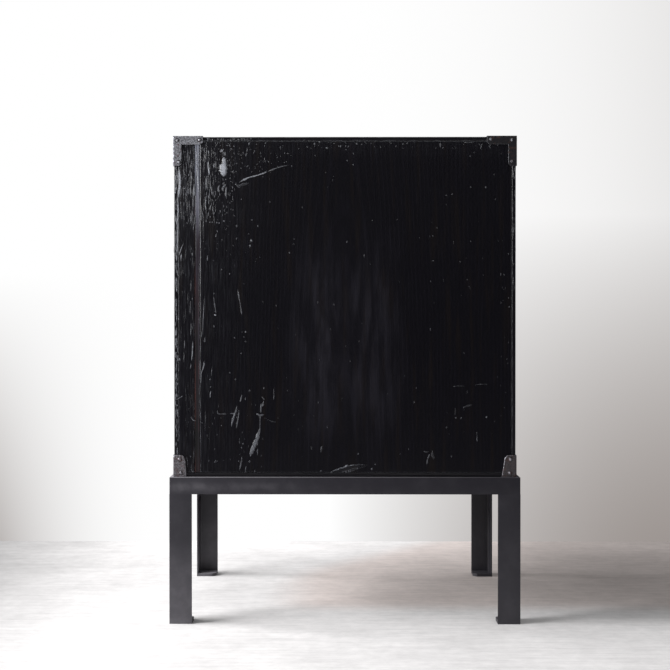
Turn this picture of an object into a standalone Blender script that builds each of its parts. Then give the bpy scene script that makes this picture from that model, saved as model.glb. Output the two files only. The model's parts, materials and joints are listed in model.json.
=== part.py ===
"""A black lacquered tansu chest on a welded stand of angle iron.

Metres, +Z up. The chest's front faces -Y and its back +Y; left and right are as seen from the front,
so left is -X. The origin is on the floor, below the middle of the whole object's box.
"""

import math
from types import SimpleNamespace

import bmesh
import bpy
from mathutils import Matrix, Vector

# Chest outside, about 2 x 2 x 1.5 shaku
CHEST_WIDTH = 0.606
CHEST_HEIGHT = 0.603
CHEST_DEPTH = 0.455

# Boards of the case
BOARD = 0.018                 # side, top and bottom boards
LIP = 0.007                   # what the rear rebate leaves of them, as a frame round the back
BACK_BOARD = 0.010
SHELF = 0.015
NARROW_BACK_WIDTH = 0.029
STRIP_WIDTH = 0.0093          # strip that fills the open joint of the back
STRIP_RECESS = 0.0005
EDGE_WEAR = 0.0008            # bevel along the boards' edges

# Fits
GAP = 0.0003                  # between pieces that touch
DRAWER_SIDE_PLAY = 0.001
DRAWER_TOP_PLAY = 0.0015
DRAWER_REAR_PLAY = 0.004
PIN_PLAY = 0.0004             # bail pin in its post
BAIL_SIDE_PLAY = 0.001        # bail beside its post
BOLT_PLAY = 0.0005

# Drawers
DRAWER_ROWS = ("bottom", "middle", "top")
DRAWER_FRONT = 0.018
DRAWER_SIDE = 0.010
DRAWER_FLOOR = 0.006
DRAWER_HANDLE_INSET = 0.153   # from the chest's side to a handle's middle

# Drawer handles
DRAWER_PLATE = 0.0015
DRAWER_PLATE_MARGIN = 0.014   # plate past the middles of its posts
DRAWER_PLATE_HEIGHT = 0.030
DRAWER_PLATE_NOTCH = 0.005
DRAWER_POST_SPAN = 0.088
DRAWER_POST_RADIUS = 0.0052
DRAWER_POST_END = 0.0018      # wall of a post beyond its hole
DRAWER_AXIS_OUT = 0.010       # hinge axis above the plate's face
DRAWER_ROD = 0.0025
DRAWER_PIN_STUB = 0.0015      # pin past its post
DRAWER_BAIL_DROP = 0.038
DRAWER_BAIL_BEND = 0.012
DRAWER_EYE_BEND = 0.005

# Carrying handles
SIDE_PLATE = 0.002
SIDE_PLATE_MARGIN = 0.021
SIDE_PLATE_HEIGHT = 0.044
SIDE_PLATE_NOTCH = 0.008
SIDE_POST_SPAN = 0.118
SIDE_POST_RADIUS = 0.0080
SIDE_POST_END = 0.0025
SIDE_AXIS_OUT = 0.0125
SIDE_ROD = 0.0040
SIDE_PIN_STUB = 0.0020
SIDE_BAIL_DROP = 0.060
SIDE_BAIL_BEND = 0.018
SIDE_EYE_BEND = 0.008
SIDE_HANDLE_BELOW_TOP = 0.190

# Lock of the top drawer
LOCK_PLATE = 0.0015
LOCK_PLATE_RADIUS = 0.034
LOCK_PLATE_BELOW_TOP = 0.004  # plate's rim under the drawer front's top edge
KEYHOLE_WIDTH = 0.005
KEYHOLE_HEIGHT = 0.012
LOCK_CASE_WIDTH = 0.060
LOCK_CASE_HEIGHT = 0.055
LOCK_CASE_WALL = 0.003
LOCK_CASE_BELOW_TOP = 0.001
BOLT_WIDTH = 0.030
BOLT_THICKNESS = 0.005
BOLT_TRAVEL = 0.009

# Corner irons
IRON = 0.0015
TOP_IRON_ARM = 0.053
TOP_IRON_WIDTH = 0.0153
TOP_IRON_CLIP = 0.004
FOOT_IRON_HEIGHT = 0.0385
FOOT_IRON_BASE = 0.0264
FOOT_IRON_HEAD = 0.0215       # width where the rounded head starts
FOOT_IRON_SHOULDER = 0.009    # height of the rounded head
FRONT_IRON_MARGIN = 0.0015    # keeps a front leaf off the drawers, on the side board's edge
FRONT_IRON_TAPER = 0.002

# Stand of angle iron
STAND_HEIGHT = 0.260
STAND_MARGIN = 0.008          # stand past the chest's boards, all round
RAIL = 0.030
LEG = 0.040
ANGLE_WALL = 0.003
FOOT_PLATE = 0.006
FOOT_CLIP = 0.008

OVERRUN = 0.004               # of a cut past the surface that it opens

# Segments of round shapes
POST_SIDES = 16
HOLE_SIDES = 12
DISC_SIDES = 40
BEND_STEPS = 4

# Worked out from the sizes above
HALF_WIDTH = CHEST_WIDTH / 2
INNER_HALF_WIDTH = HALF_WIDTH - BOARD
HANDLE_REACH = GAP + DRAWER_PLATE + DRAWER_AXIS_OUT + DRAWER_ROD + PIN_PLAY + DRAWER_POST_END
MIDDLE_Y = max(0, HANDLE_REACH - STAND_MARGIN) / 2    # middle of the chest and of the stand
FRONT_Y = MIDDLE_Y - CHEST_DEPTH / 2
BACK_Y = MIDDLE_Y + CHEST_DEPTH / 2
BAY_BACK_Y = BACK_Y - BACK_BOARD - GAP
CHEST_BOTTOM = STAND_HEIGHT + GAP
CHEST_TOP = CHEST_BOTTOM + CHEST_HEIGHT
BAY_TOP = CHEST_TOP - BOARD
BAY_HEIGHT = (CHEST_HEIGHT - 2 * BOARD - (len(DRAWER_ROWS) - 1) * SHELF) / len(DRAWER_ROWS)
STAND_HALF_X = HALF_WIDTH + STAND_MARGIN
STAND_HALF_Y = CHEST_DEPTH / 2 + STAND_MARGIN
DRAWER_HALF_WIDTH = INNER_HALF_WIDTH - DRAWER_SIDE_PLAY
DRAWER_INSIDE_Y = FRONT_Y + DRAWER_FRONT + GAP
DRAWER_BACK_Y = BAY_BACK_Y - DRAWER_REAR_PLAY
DRAWER_FRONT_TOP = BAY_TOP - DRAWER_TOP_PLAY          # of the top drawer
LOCK_CASE_TOP = DRAWER_FRONT_TOP - LOCK_CASE_BELOW_TOP
LOCK_CASE_BACK_Y = DRAWER_INSIDE_Y + 2 * LOCK_CASE_WALL + BOLT_THICKNESS + 2 * BOLT_PLAY
BOLT_FRONT_Y = DRAWER_INSIDE_Y + LOCK_CASE_WALL + BOLT_PLAY
KEYHOLE_Z = DRAWER_FRONT_TOP - LOCK_PLATE_BELOW_TOP - LOCK_PLATE_RADIUS

DRAWER_HANDLE = SimpleNamespace(
    plate=DRAWER_PLATE, width=DRAWER_POST_SPAN + 2 * DRAWER_PLATE_MARGIN, height=DRAWER_PLATE_HEIGHT,
    notch=DRAWER_PLATE_NOTCH, span=DRAWER_POST_SPAN, post=DRAWER_POST_RADIUS, end=DRAWER_POST_END, out=DRAWER_AXIS_OUT,
    rod=DRAWER_ROD, stub=DRAWER_PIN_STUB, drop=DRAWER_BAIL_DROP, bend=DRAWER_BAIL_BEND,
    eye=DRAWER_EYE_BEND)
SIDE_HANDLE = SimpleNamespace(
    plate=SIDE_PLATE, width=SIDE_POST_SPAN + 2 * SIDE_PLATE_MARGIN, height=SIDE_PLATE_HEIGHT,
    notch=SIDE_PLATE_NOTCH, span=SIDE_POST_SPAN, post=SIDE_POST_RADIUS, end=SIDE_POST_END, out=SIDE_AXIS_OUT,
    rod=SIDE_ROD, stub=SIDE_PIN_STUB, drop=SIDE_BAIL_DROP, bend=SIDE_BAIL_BEND,
    eye=SIDE_EYE_BEND)

X, Y, Z = Vector((1, 0, 0)), Vector((0, 1, 0)), Vector((0, 0, 1))
QUARTER = math.pi / 2


for old in list(bpy.data.objects):
    bpy.data.objects.remove(old)

parts = bpy.data.collections.new("tansu_chest")
cutters = bpy.data.collections.new("cutters")
for collection in (parts, cutters):
    bpy.context.scene.collection.children.link(collection)


# Materials

def principled(name, colour, roughness, metallic=0.0):
    """A Principled material; the colour is linear RGB."""
    material = bpy.data.materials.new(name)
    material.use_nodes = True
    shader = material.node_tree.nodes["Principled BSDF"]
    shader.inputs["Base Color"].default_value = (*colour, 1.0)
    shader.inputs["Roughness"].default_value = roughness
    shader.inputs["Metallic"].default_value = metallic
    return material


LACQUER = principled("black_lacquer", (0.008, 0.008, 0.010), 0.35)
BARE_WOOD = principled("bare_wood", (0.42, 0.27, 0.15), 0.7)
SEAM_WOOD = principled("seam_wood", (0.060, 0.055, 0.060), 0.7)
WORN_IRON = principled("worn_iron", (0.050, 0.050, 0.055), 0.55, 1.0)
STAND_PAINT = principled("black_painted_iron", (0.030, 0.030, 0.034), 0.45, 0.6)


# Placing

def world_place(empty):
    """World position of an empty; none of the empties is turned."""
    return Vector(empty.location) + world_place(empty.parent) if empty else Vector((0, 0, 0))


def place(name, data, at=(0, 0, 0), parent=None, spin=0.0, material=None, collection=parts):
    """An object at the world point `at`, turned by `spin` about Z, with a material of its own."""
    obj = bpy.data.objects.new(name, data)
    collection.objects.link(obj)
    obj.parent = parent
    obj.location = Vector(at) - world_place(parent)
    obj.rotation_euler = (0, 0, spin)
    if material:
        finish = material.copy()
        finish.name = name + "_" + material.name
        obj.data.materials.clear()
        obj.data.materials.append(finish)
    return obj


def body_empty(name, at, parent=None):
    """An empty that carries the pieces of one moving body, on its joint's axis."""
    return place(name, None, at, parent)


# Meshes

def box_mesh(name, low, high):
    """A box between two corners."""
    low, high = Vector(low), Vector(high)
    bm = bmesh.new()
    stretch = Matrix.Diagonal((*(high - low), 1.0))
    bmesh.ops.create_cube(bm, size=1.0, matrix=Matrix.Translation((low + high) / 2) @ stretch)
    return finished_mesh(name, bm)


def cylinder_mesh(name, radius, start, direction, length, sides):
    """A cylinder from a start point along a direction."""
    bm = bmesh.new()
    turn = direction.to_track_quat("Z", "Y").to_matrix().to_4x4()
    middle = Vector(start) + direction * (length / 2)
    bmesh.ops.create_cone(bm, cap_ends=True, segments=sides, radius1=radius, radius2=radius,
                          depth=length, matrix=Matrix.Translation(middle) @ turn)
    return finished_mesh(name, bm)


def finished_mesh(name, bm):
    """A mesh from a bmesh, smooth where it is round."""
    mesh = bpy.data.meshes.new(name)
    bm.to_mesh(mesh)
    bm.free()
    mesh.shade_smooth()
    mesh.set_sharp_from_angle(angle=math.radians(40))
    return mesh


def curve_mesh(name, curve, points, closed):
    """The closed mesh of a curve through points, its caps welded to its walls."""
    spline = curve.splines.new("POLY")
    spline.points.add(len(points) - 1)
    spline.use_cyclic_u = closed
    for control, point in zip(spline.points, points):
        control.co = (*Vector(point).to_3d(), 1)
    obj = place(name + "_curve", curve, collection=cutters)
    graph = bpy.context.evaluated_depsgraph_get()
    loose = bpy.data.meshes.new_from_object(obj.evaluated_get(graph))
    bpy.data.objects.remove(obj)
    bm = bmesh.new()
    bm.from_mesh(loose)
    bmesh.ops.remove_doubles(bm, verts=bm.verts, dist=1e-6)
    return finished_mesh(name, bm)


def outline_mesh(name, outline, thickness, origin=(0, 0, 0), along=(X, Y, Z)):
    """A flat outline, thickened, its first, second and thickness directions laid along three axes."""
    curve = bpy.data.curves.new(name, "CURVE")
    curve.dimensions = "2D"
    curve.fill_mode = "BOTH"
    curve.extrude = thickness / 2
    mesh = curve_mesh(name, curve, outline, closed=True)
    lay = Matrix(along).transposed().to_4x4()
    mesh.transform(Matrix.Translation(origin) @ lay @ Matrix.Translation(Z * thickness / 2))
    return mesh


def rod_mesh(name, points, radius):
    """A round rod along a line of points, its ends closed."""
    curve = bpy.data.curves.new(name, "CURVE")
    curve.dimensions = "3D"
    curve.bevel_depth = radius
    curve.bevel_resolution = 2
    curve.use_fill_caps = True
    return curve_mesh(name, curve, points, closed=False)


def combined(mesh, *steps):
    """The mesh after Booleans, each a pair of an operation and a tool mesh."""
    work = place(mesh.name + "_work", mesh, collection=cutters)
    helpers = [work]
    for operation, tool in steps:
        helper = place(tool.name + "_tool", tool, collection=cutters)
        helpers.append(helper)
        boolean = work.modifiers.new(tool.name, "BOOLEAN")
        boolean.operation = operation
        boolean.object = helper
    graph = bpy.context.evaluated_depsgraph_get()
    result = bpy.data.meshes.new_from_object(work.evaluated_get(graph))
    result.name = mesh.name
    for helper in helpers:
        bpy.data.objects.remove(helper)
    return result


def worn_edges(obj):
    """A small bevel along a board's edges."""
    bevel = obj.modifiers.new("worn_edges", "BEVEL")
    bevel.width = EDGE_WEAR
    bevel.segments = 1
    bevel.limit_method = "ANGLE"


def board(name, low, high, parent, material, *steps):
    """A rectangular board between two world corners, cut by Booleans if any are given."""
    middle = (Vector(low) + Vector(high)) / 2
    mesh = box_mesh(name, low, high)
    if steps:
        mesh = combined(mesh, *steps)
    mesh.transform(Matrix.Translation(-middle))
    worn_edges(place(name, mesh, middle, parent, material=material))


# Outlines and paths

def arc(centre, radius, start, end, steps=BEND_STEPS):
    """Points on an arc, the angles in degrees."""
    turns = [math.radians(start + (end - start) * i / steps) for i in range(steps + 1)]
    return [Vector((centre[0] + radius * math.cos(a), centre[1] + radius * math.sin(a))) for a in turns]


def bent(points, radii):
    """A line of points whose inner corners are rounded, each to its own radius."""
    path = [points[0]]
    for before, corner, after, radius in zip(points, points[1:], points[2:], radii):
        back, ahead = (before - corner).normalized(), (after - corner).normalized()
        half_angle = back.angle(ahead) / 2
        centre = corner + (back + ahead).normalized() * radius / math.sin(half_angle)
        first = corner + back * radius / math.tan(half_angle) - centre
        last = corner + ahead * radius / math.tan(half_angle) - centre
        path += [centre + first.slerp(last, i / BEND_STEPS).normalized() * radius
                 for i in range(BEND_STEPS + 1)]
    return path + [points[-1]]


def notched_rectangle(width, height, notch):
    """A rectangle about the origin with a hollow round notch at each corner."""
    outline = []
    for turn, (side, up) in enumerate(((1, 1), (-1, 1), (-1, -1), (1, -1))):
        start = 90 * turn - 90
        outline += arc((side * width / 2, up * height / 2), notch, start, start - 90)
    return outline


# Stand

def rail(name, length, at, spin):
    """An angle iron with its flat flange on top, facing inward, its ends mitred at 45 degrees."""
    profile = [(0, 0), (RAIL, 0), (RAIL, ANGLE_WALL), (ANGLE_WALL, ANGLE_WALL), (ANGLE_WALL, RAIL), (0, RAIL)]
    mesh = outline_mesh(name, profile, length, X * length / 2, (Y, -Z, -X))
    bm = bmesh.new()
    bm.from_mesh(mesh)
    for side in (-1, 1):
        cut_at = X * side * (length / 2 - GAP / math.sqrt(2))
        whole = bm.verts[:] + bm.edges[:] + bm.faces[:]
        bmesh.ops.bisect_plane(bm, geom=whole, plane_co=cut_at, plane_no=X * side + Y, clear_outer=True)
        rim = [edge for edge in bm.edges if edge.is_boundary]
        bmesh.ops.contextual_create(bm, geom=rim)
    bmesh.ops.recalc_face_normals(bm, faces=bm.faces)
    place(name, finished_mesh(name, bm), at, spin=spin, material=STAND_PAINT)


def leg(name, at, spin):
    """An angle iron with its corner at `at`, its flanges along +X and +Y, and a plate across its foot."""
    profile = [(0, 0), (LEG, 0), (LEG, ANGLE_WALL), (ANGLE_WALL, ANGLE_WALL), (ANGLE_WALL, LEG), (0, LEG)]
    plate = [(0, 0), (LEG, 0), (LEG, LEG - FOOT_CLIP), (LEG - FOOT_CLIP, LEG), (0, LEG)]
    shaft = outline_mesh(name, profile, STAND_HEIGHT - RAIL - GAP)
    foot = outline_mesh(name + "_foot", plate, FOOT_PLATE)
    place(name, combined(shaft, ("UNION", foot)), at, spin=spin, material=STAND_PAINT)


def make_stand():
    """Four mitred rails and the four legs under their corners."""
    left, right = -STAND_HALF_X, STAND_HALF_X
    front, back = MIDDLE_Y - STAND_HALF_Y, MIDDLE_Y + STAND_HALF_Y
    rail("stand_rail_front", 2 * STAND_HALF_X, (0, front, STAND_HEIGHT), 0)
    rail("stand_rail_right", 2 * STAND_HALF_Y, (right, MIDDLE_Y, STAND_HEIGHT), QUARTER)
    rail("stand_rail_back", 2 * STAND_HALF_X, (0, back, STAND_HEIGHT), 2 * QUARTER)
    rail("stand_rail_left", 2 * STAND_HALF_Y, (left, MIDDLE_Y, STAND_HEIGHT), -QUARTER)
    leg("stand_leg_front_left", (left, front, 0), 0)
    leg("stand_leg_front_right", (right, front, 0), QUARTER)
    leg("stand_leg_back_right", (right, back, 0), 2 * QUARTER)
    leg("stand_leg_back_left", (left, back, 0), -QUARTER)


# Case

def bay_floor(row):
    """Height of the surface that a drawer slides on."""
    return CHEST_BOTTOM + BOARD + row * (BAY_HEIGHT + SHELF)


def flat_board(name, outer_z, inward, chest, *steps):
    """The top or bottom board: a full plate, and a thicker middle between the side boards."""
    inner = INNER_HALF_WIDTH - GAP
    plate_z = sorted((outer_z, outer_z + inward * LIP))
    core_z = sorted((outer_z + inward * LIP / 2, outer_z + inward * BOARD))
    core = box_mesh(name + "_core", (-inner, FRONT_Y, core_z[0]), (inner, BAY_BACK_Y, core_z[1]))
    board(name, (-HALF_WIDTH, FRONT_Y, plate_z[0]), (HALF_WIDTH, BACK_Y, plate_z[1]), chest, LACQUER,
          ("UNION", core), *steps)


def side_board(name, side, chest):
    """A side board, rebated behind so that a lip frames the back boards."""
    outline = [(INNER_HALF_WIDTH, FRONT_Y), (HALF_WIDTH, FRONT_Y), (HALF_WIDTH, BACK_Y),
               (HALF_WIDTH - LIP, BACK_Y), (HALF_WIDTH - LIP, BAY_BACK_Y), (INNER_HALF_WIDTH, BAY_BACK_Y)]
    outline = [(side * x, y) for x, y in outline]
    low = CHEST_BOTTOM + LIP + GAP
    mesh = outline_mesh(name, outline, CHEST_TOP - LIP - GAP - low)
    worn_edges(place(name, mesh, (0, 0, low), chest, material=LACQUER))


def make_back(chest):
    """The wide and the narrow back board, and the strip in the joint between them."""
    low, high = CHEST_BOTTOM + LIP + GAP, CHEST_TOP - LIP - GAP
    front = BACK_Y - BACK_BOARD
    edge = HALF_WIDTH - LIP - GAP
    strip = edge - NARROW_BACK_WIDTH - GAP
    wide = strip - STRIP_WIDTH - GAP
    board("back_board_narrow", (strip + GAP, front, low), (edge, BACK_Y, high), chest, LACQUER)
    board("back_seam_strip", (wide + GAP, front, low), (strip, BACK_Y - STRIP_RECESS, high), chest, SEAM_WOOD)
    board("back_board_wide", (-edge, front, low), (wide, BACK_Y, high), chest, LACQUER)


def make_case(chest):
    """Top, bottom, sides, shelves and back."""
    slot_x = BOLT_WIDTH / 2 + 2 * BOLT_PLAY
    slot_top = LOCK_CASE_TOP + BOLT_TRAVEL + 2 * BOLT_PLAY
    slot_back = BOLT_FRONT_Y + BOLT_THICKNESS + 2 * BOLT_PLAY
    bolt_slot = box_mesh("bolt_slot", (-slot_x, BOLT_FRONT_Y - 2 * BOLT_PLAY, BAY_TOP - OVERRUN),
                         (slot_x, slot_back, slot_top))
    flat_board("top_board", CHEST_TOP, -1, chest, ("DIFFERENCE", bolt_slot))
    flat_board("bottom_board", CHEST_BOTTOM, 1, chest)
    side_board("side_board_left", -1, chest)
    side_board("side_board_right", 1, chest)
    make_back(chest)
    inner = INNER_HALF_WIDTH - GAP
    for row, name in enumerate(("shelf_lower", "shelf_upper")):
        under = bay_floor(row) + BAY_HEIGHT
        board(name, (-inner, FRONT_Y, under), (inner, BAY_BACK_Y, under + SHELF), chest, BARE_WOOD)


# Corner irons, made for the back right corner, where the boards end at the origin

def top_iron_mesh():
    """Three L-shaped leaves on the top, back and side, with arms along each edge of the corner."""
    arm, width, clip = TOP_IRON_ARM, TOP_IRON_WIDTH, TOP_IRON_CLIP
    leaf = [(0, 0), (arm, 0), (arm, width - clip), (arm - clip, width), (width, width),
            (width, arm - clip), (width - clip, arm), (0, arm)]
    far = GAP + IRON
    top = outline_mesh("top_iron", leaf, IRON, (far, far, GAP), (-X, -Y, Z))
    back = outline_mesh("top_iron_back", leaf, IRON, (far, far, far), (-X, -Z, -Y))
    side = outline_mesh("top_iron_side", leaf, IRON, (GAP, far, far), (-Y, -Z, X))
    return combined(top, ("UNION", back), ("UNION", side))


def foot_iron_leaf(base, head):
    """A tongue that leans in from its base to a rounded head."""
    shoulder = FOOT_IRON_SHOULDER
    low = FOOT_IRON_HEIGHT - shoulder
    crown = arc((head - shoulder, low), shoulder, 0, 90)
    heel = arc((shoulder / 2, low + shoulder / 2), shoulder / 2, 90, 180)
    return [Vector((0, 0)), Vector((base, 0))] + crown + heel


def foot_iron_mesh(back_base, back_head, side_base, side_head):
    """Two tongues on the back and side of the corner, joined along its edge."""
    far = GAP + IRON
    back = outline_mesh("foot_iron", foot_iron_leaf(back_base, back_head), IRON, (far, GAP, 0), (-X, Z, Y))
    side = outline_mesh("foot_iron_side", foot_iron_leaf(side_base, side_head), IRON, (far, far, 0),
                        (-Y, Z, -X))
    return combined(back, ("UNION", side))


def make_irons(chest):
    """An iron on each of the case's eight corners; the ones at the front foot clear the bottom drawer."""
    full = (FOOT_IRON_BASE, FOOT_IRON_HEAD)
    slim_base = GAP + IRON + BOARD - FRONT_IRON_MARGIN
    slim = (slim_base, slim_base - FRONT_IRON_TAPER)
    corners = (("back_right", 1, 1, 0, full, full), ("back_left", -1, 1, QUARTER, full, full),
               ("front_left", -1, -1, 2 * QUARTER, slim, full), ("front_right", 1, -1, -QUARTER, full, slim))
    for corner, side, depth, spin, first, second in corners:
        at = (side * HALF_WIDTH, MIDDLE_Y + depth * CHEST_DEPTH / 2)
        place("corner_iron_top_" + corner, top_iron_mesh(), (*at, CHEST_TOP), chest, spin, WORN_IRON)
        place("corner_iron_foot_" + corner, foot_iron_mesh(*first, *second), (*at, CHEST_BOTTOM), chest, spin,
              WORN_IRON)


# Handles, made to face -Y with the surface that they sit on at Y = 0

def handle_plate_mesh(name, handle):
    """A backing plate with two posts, cross-drilled for the bail's pins."""
    face = GAP + handle.plate
    plate = outline_mesh(name, notched_rectangle(handle.width, handle.height, handle.notch), handle.plate,
                         Y * -GAP, (X, Z, -Y))
    post_length = face - GAP + handle.out + handle.rod + PIN_PLAY + handle.end
    posts = [cylinder_mesh(name + "_post", handle.post, X * side * handle.span / 2 - Y * GAP, -Y,
                           post_length, POST_SIDES) for side in (-1, 1)]
    hole_start = X * -handle.width / 2 - Y * (face + handle.out)
    hole = cylinder_mesh(name + "_hole", handle.rod + PIN_PLAY, hole_start, X, handle.width, HOLE_SIDES)
    return combined(plate, ("UNION", posts[0]), ("UNION", posts[1]), ("DIFFERENCE", hole))


def bail_mesh(name, handle):
    """A bail that hangs down from the hinge axis at the origin, its pins turned inward."""
    pin = handle.span / 2 - handle.post - handle.stub
    side = handle.span / 2 + handle.post + BAIL_SIDE_PLAY + handle.eye
    corners = [(-pin, 0), (-side, 0), (-side, -handle.drop), (side, -handle.drop), (side, 0), (pin, 0)]
    corners = [Vector((x, 0, z)) for x, z in corners]
    path = bent(corners, (handle.eye, handle.bend, handle.bend, handle.eye))
    return rod_mesh(name, path, handle.rod)


def make_handle(plate_name, bail_name, handle, at, spin, carrier):
    """A backing plate on its carrier, and a bail on an empty at the posts' holes."""
    place(plate_name, handle_plate_mesh(plate_name, handle), at, carrier, spin, WORN_IRON)
    outward = Matrix.Rotation(spin, 3, "Z") @ -Y
    axis = Vector(at) + outward * (GAP + handle.plate + handle.out)
    hinge = body_empty(bail_name + "_axis", axis, carrier)
    place(bail_name, bail_mesh(bail_name, handle), axis, hinge, spin, WORN_IRON)


def make_side_handles(chest):
    """A carrying handle on each side board."""
    high = CHEST_TOP - SIDE_HANDLE_BELOW_TOP
    for name, side in (("left", -1), ("right", 1)):
        make_handle("side_handle_plate_" + name, "side_bail_" + name, SIDE_HANDLE,
                    (side * HALF_WIDTH, MIDDLE_Y, high), side * QUARTER, chest)


# Drawers

def make_drawer(row, name, chest):
    """Five boards and two handles; the front of the top drawer has a keyhole."""
    low = bay_floor(row) + GAP
    high = bay_floor(row) + BAY_HEIGHT - DRAWER_TOP_PLAY
    wide = DRAWER_HALF_WIDTH
    inside = wide - DRAWER_SIDE
    wall_low = low + DRAWER_FLOOR + GAP
    drawer = body_empty("drawer_" + name, (0, FRONT_Y, low), chest)
    cuts = [("DIFFERENCE", keyhole_mesh())] if name == "top" else []
    board(f"drawer_{name}_front", (-wide, FRONT_Y, low), (wide, FRONT_Y + DRAWER_FRONT, high), drawer,
          LACQUER, *cuts)
    board(f"drawer_{name}_floor", (-wide, DRAWER_INSIDE_Y, low), (wide, DRAWER_BACK_Y, low + DRAWER_FLOOR),
          drawer, BARE_WOOD)
    board(f"drawer_{name}_side_left", (-wide, DRAWER_INSIDE_Y, wall_low), (-inside, DRAWER_BACK_Y, high),
          drawer, BARE_WOOD)
    board(f"drawer_{name}_side_right", (inside, DRAWER_INSIDE_Y, wall_low), (wide, DRAWER_BACK_Y, high),
          drawer, BARE_WOOD)
    board(f"drawer_{name}_back", (GAP - inside, DRAWER_BACK_Y - DRAWER_SIDE, wall_low),
          (inside - GAP, DRAWER_BACK_Y, high), drawer, BARE_WOOD)
    handle_z = (low + high + DRAWER_BAIL_DROP) / 2
    for side_name, side in (("left", -1), ("right", 1)):
        make_handle(f"drawer_{name}_plate_{side_name}", f"drawer_{name}_bail_{side_name}", DRAWER_HANDLE,
                    (side * (HALF_WIDTH - DRAWER_HANDLE_INSET), FRONT_Y, handle_z), 0, drawer)
    return drawer


# Lock

def keyhole_mesh():
    """A plain upright slot, through plate, drawer front and the case's front wall."""
    half_x, half_z = KEYHOLE_WIDTH / 2, KEYHOLE_HEIGHT / 2
    front = FRONT_Y - GAP - LOCK_PLATE - OVERRUN
    return box_mesh("keyhole", (-half_x, front, KEYHOLE_Z - half_z),
                    (half_x, BOLT_FRONT_Y, KEYHOLE_Z + half_z))


def make_lock(drawer):
    """A round plate, a case behind the drawer front, and a bolt that rises out of it."""
    rim = arc((0, KEYHOLE_Z), LOCK_PLATE_RADIUS, 0, 360, DISC_SIDES)[:-1]
    disc = outline_mesh("lock_plate", rim, LOCK_PLATE, Y * (FRONT_Y - GAP), (X, Z, -Y))
    place("lock_plate", combined(disc, ("DIFFERENCE", keyhole_mesh())), parent=drawer, material=WORN_IRON)

    half = LOCK_CASE_WIDTH / 2
    floor = LOCK_CASE_TOP - LOCK_CASE_HEIGHT
    case = box_mesh("lock_case", (-half, DRAWER_INSIDE_Y, floor), (half, LOCK_CASE_BACK_Y, LOCK_CASE_TOP))
    channel_x = BOLT_WIDTH / 2 + BOLT_PLAY
    channel_back = BOLT_FRONT_Y + BOLT_THICKNESS + BOLT_PLAY
    channel = box_mesh("bolt_channel", (-channel_x, BOLT_FRONT_Y - BOLT_PLAY, floor + LOCK_CASE_WALL),
                       (channel_x, channel_back, LOCK_CASE_TOP + OVERRUN))
    case = combined(case, ("DIFFERENCE", channel), ("DIFFERENCE", keyhole_mesh()))
    place("lock_case", case, parent=drawer, material=WORN_IRON)

    bolt_low = floor + LOCK_CASE_WALL + GAP
    lift = body_empty("lock_bolt_axis", (0, BOLT_FRONT_Y + BOLT_THICKNESS / 2, bolt_low), drawer)
    bolt = box_mesh("lock_bolt", (-BOLT_WIDTH / 2, -BOLT_THICKNESS / 2, 0),
                    (BOLT_WIDTH / 2, BOLT_THICKNESS / 2, LOCK_CASE_TOP - bolt_low))
    place("lock_bolt", bolt, world_place(lift), lift, material=WORN_IRON)


# Assembly

make_stand()
chest_body = body_empty("chest_lift", (0, MIDDLE_Y, CHEST_BOTTOM))
make_case(chest_body)
make_irons(chest_body)
make_side_handles(chest_body)
for index, row_name in enumerate(DRAWER_ROWS):
    drawer_body = make_drawer(index, row_name, chest_body)
    if row_name == "top":
        make_lock(drawer_body)
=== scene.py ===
# A black lacquered tansu chest, seen from its boarded back, on a welded stand of angle iron.
# Metres, +Z up; the chest's back faces +Y and its drawers face -Y; left and right are as seen from the front.

import json
import math

import bmesh
import bpy
import numpy as np
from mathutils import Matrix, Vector


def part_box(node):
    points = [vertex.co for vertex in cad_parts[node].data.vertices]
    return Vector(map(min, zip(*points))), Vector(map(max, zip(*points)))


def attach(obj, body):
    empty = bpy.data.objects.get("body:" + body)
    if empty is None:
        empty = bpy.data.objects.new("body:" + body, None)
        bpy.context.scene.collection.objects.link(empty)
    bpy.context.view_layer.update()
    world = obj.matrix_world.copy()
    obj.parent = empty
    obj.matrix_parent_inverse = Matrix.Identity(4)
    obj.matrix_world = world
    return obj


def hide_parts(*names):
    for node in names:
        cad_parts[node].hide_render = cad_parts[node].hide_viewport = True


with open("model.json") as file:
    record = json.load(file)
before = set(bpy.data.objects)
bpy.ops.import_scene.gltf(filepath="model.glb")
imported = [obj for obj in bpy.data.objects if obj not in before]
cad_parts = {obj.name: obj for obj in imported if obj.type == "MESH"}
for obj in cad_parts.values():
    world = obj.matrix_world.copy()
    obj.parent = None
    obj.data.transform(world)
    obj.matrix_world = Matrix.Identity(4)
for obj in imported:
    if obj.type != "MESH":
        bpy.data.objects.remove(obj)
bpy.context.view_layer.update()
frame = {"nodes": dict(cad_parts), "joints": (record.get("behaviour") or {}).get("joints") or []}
nodes = frame["nodes"]
mm = 0.001
print("frame loaded,", len(nodes), "nodes")


# Colours and shader nodes

def linearColour(hexText):
    # an sRGB hex value as linear red, green, blue and alpha
    parts = np.array([int(hexText[i:i + 2], 16) for i in (1, 3, 5)]) / 255
    linear = np.where(parts <= 0.04045, parts / 12.92, ((parts + 0.055) / 1.055) ** 2.4)
    return (*linear.tolist(), 1.0)


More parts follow.
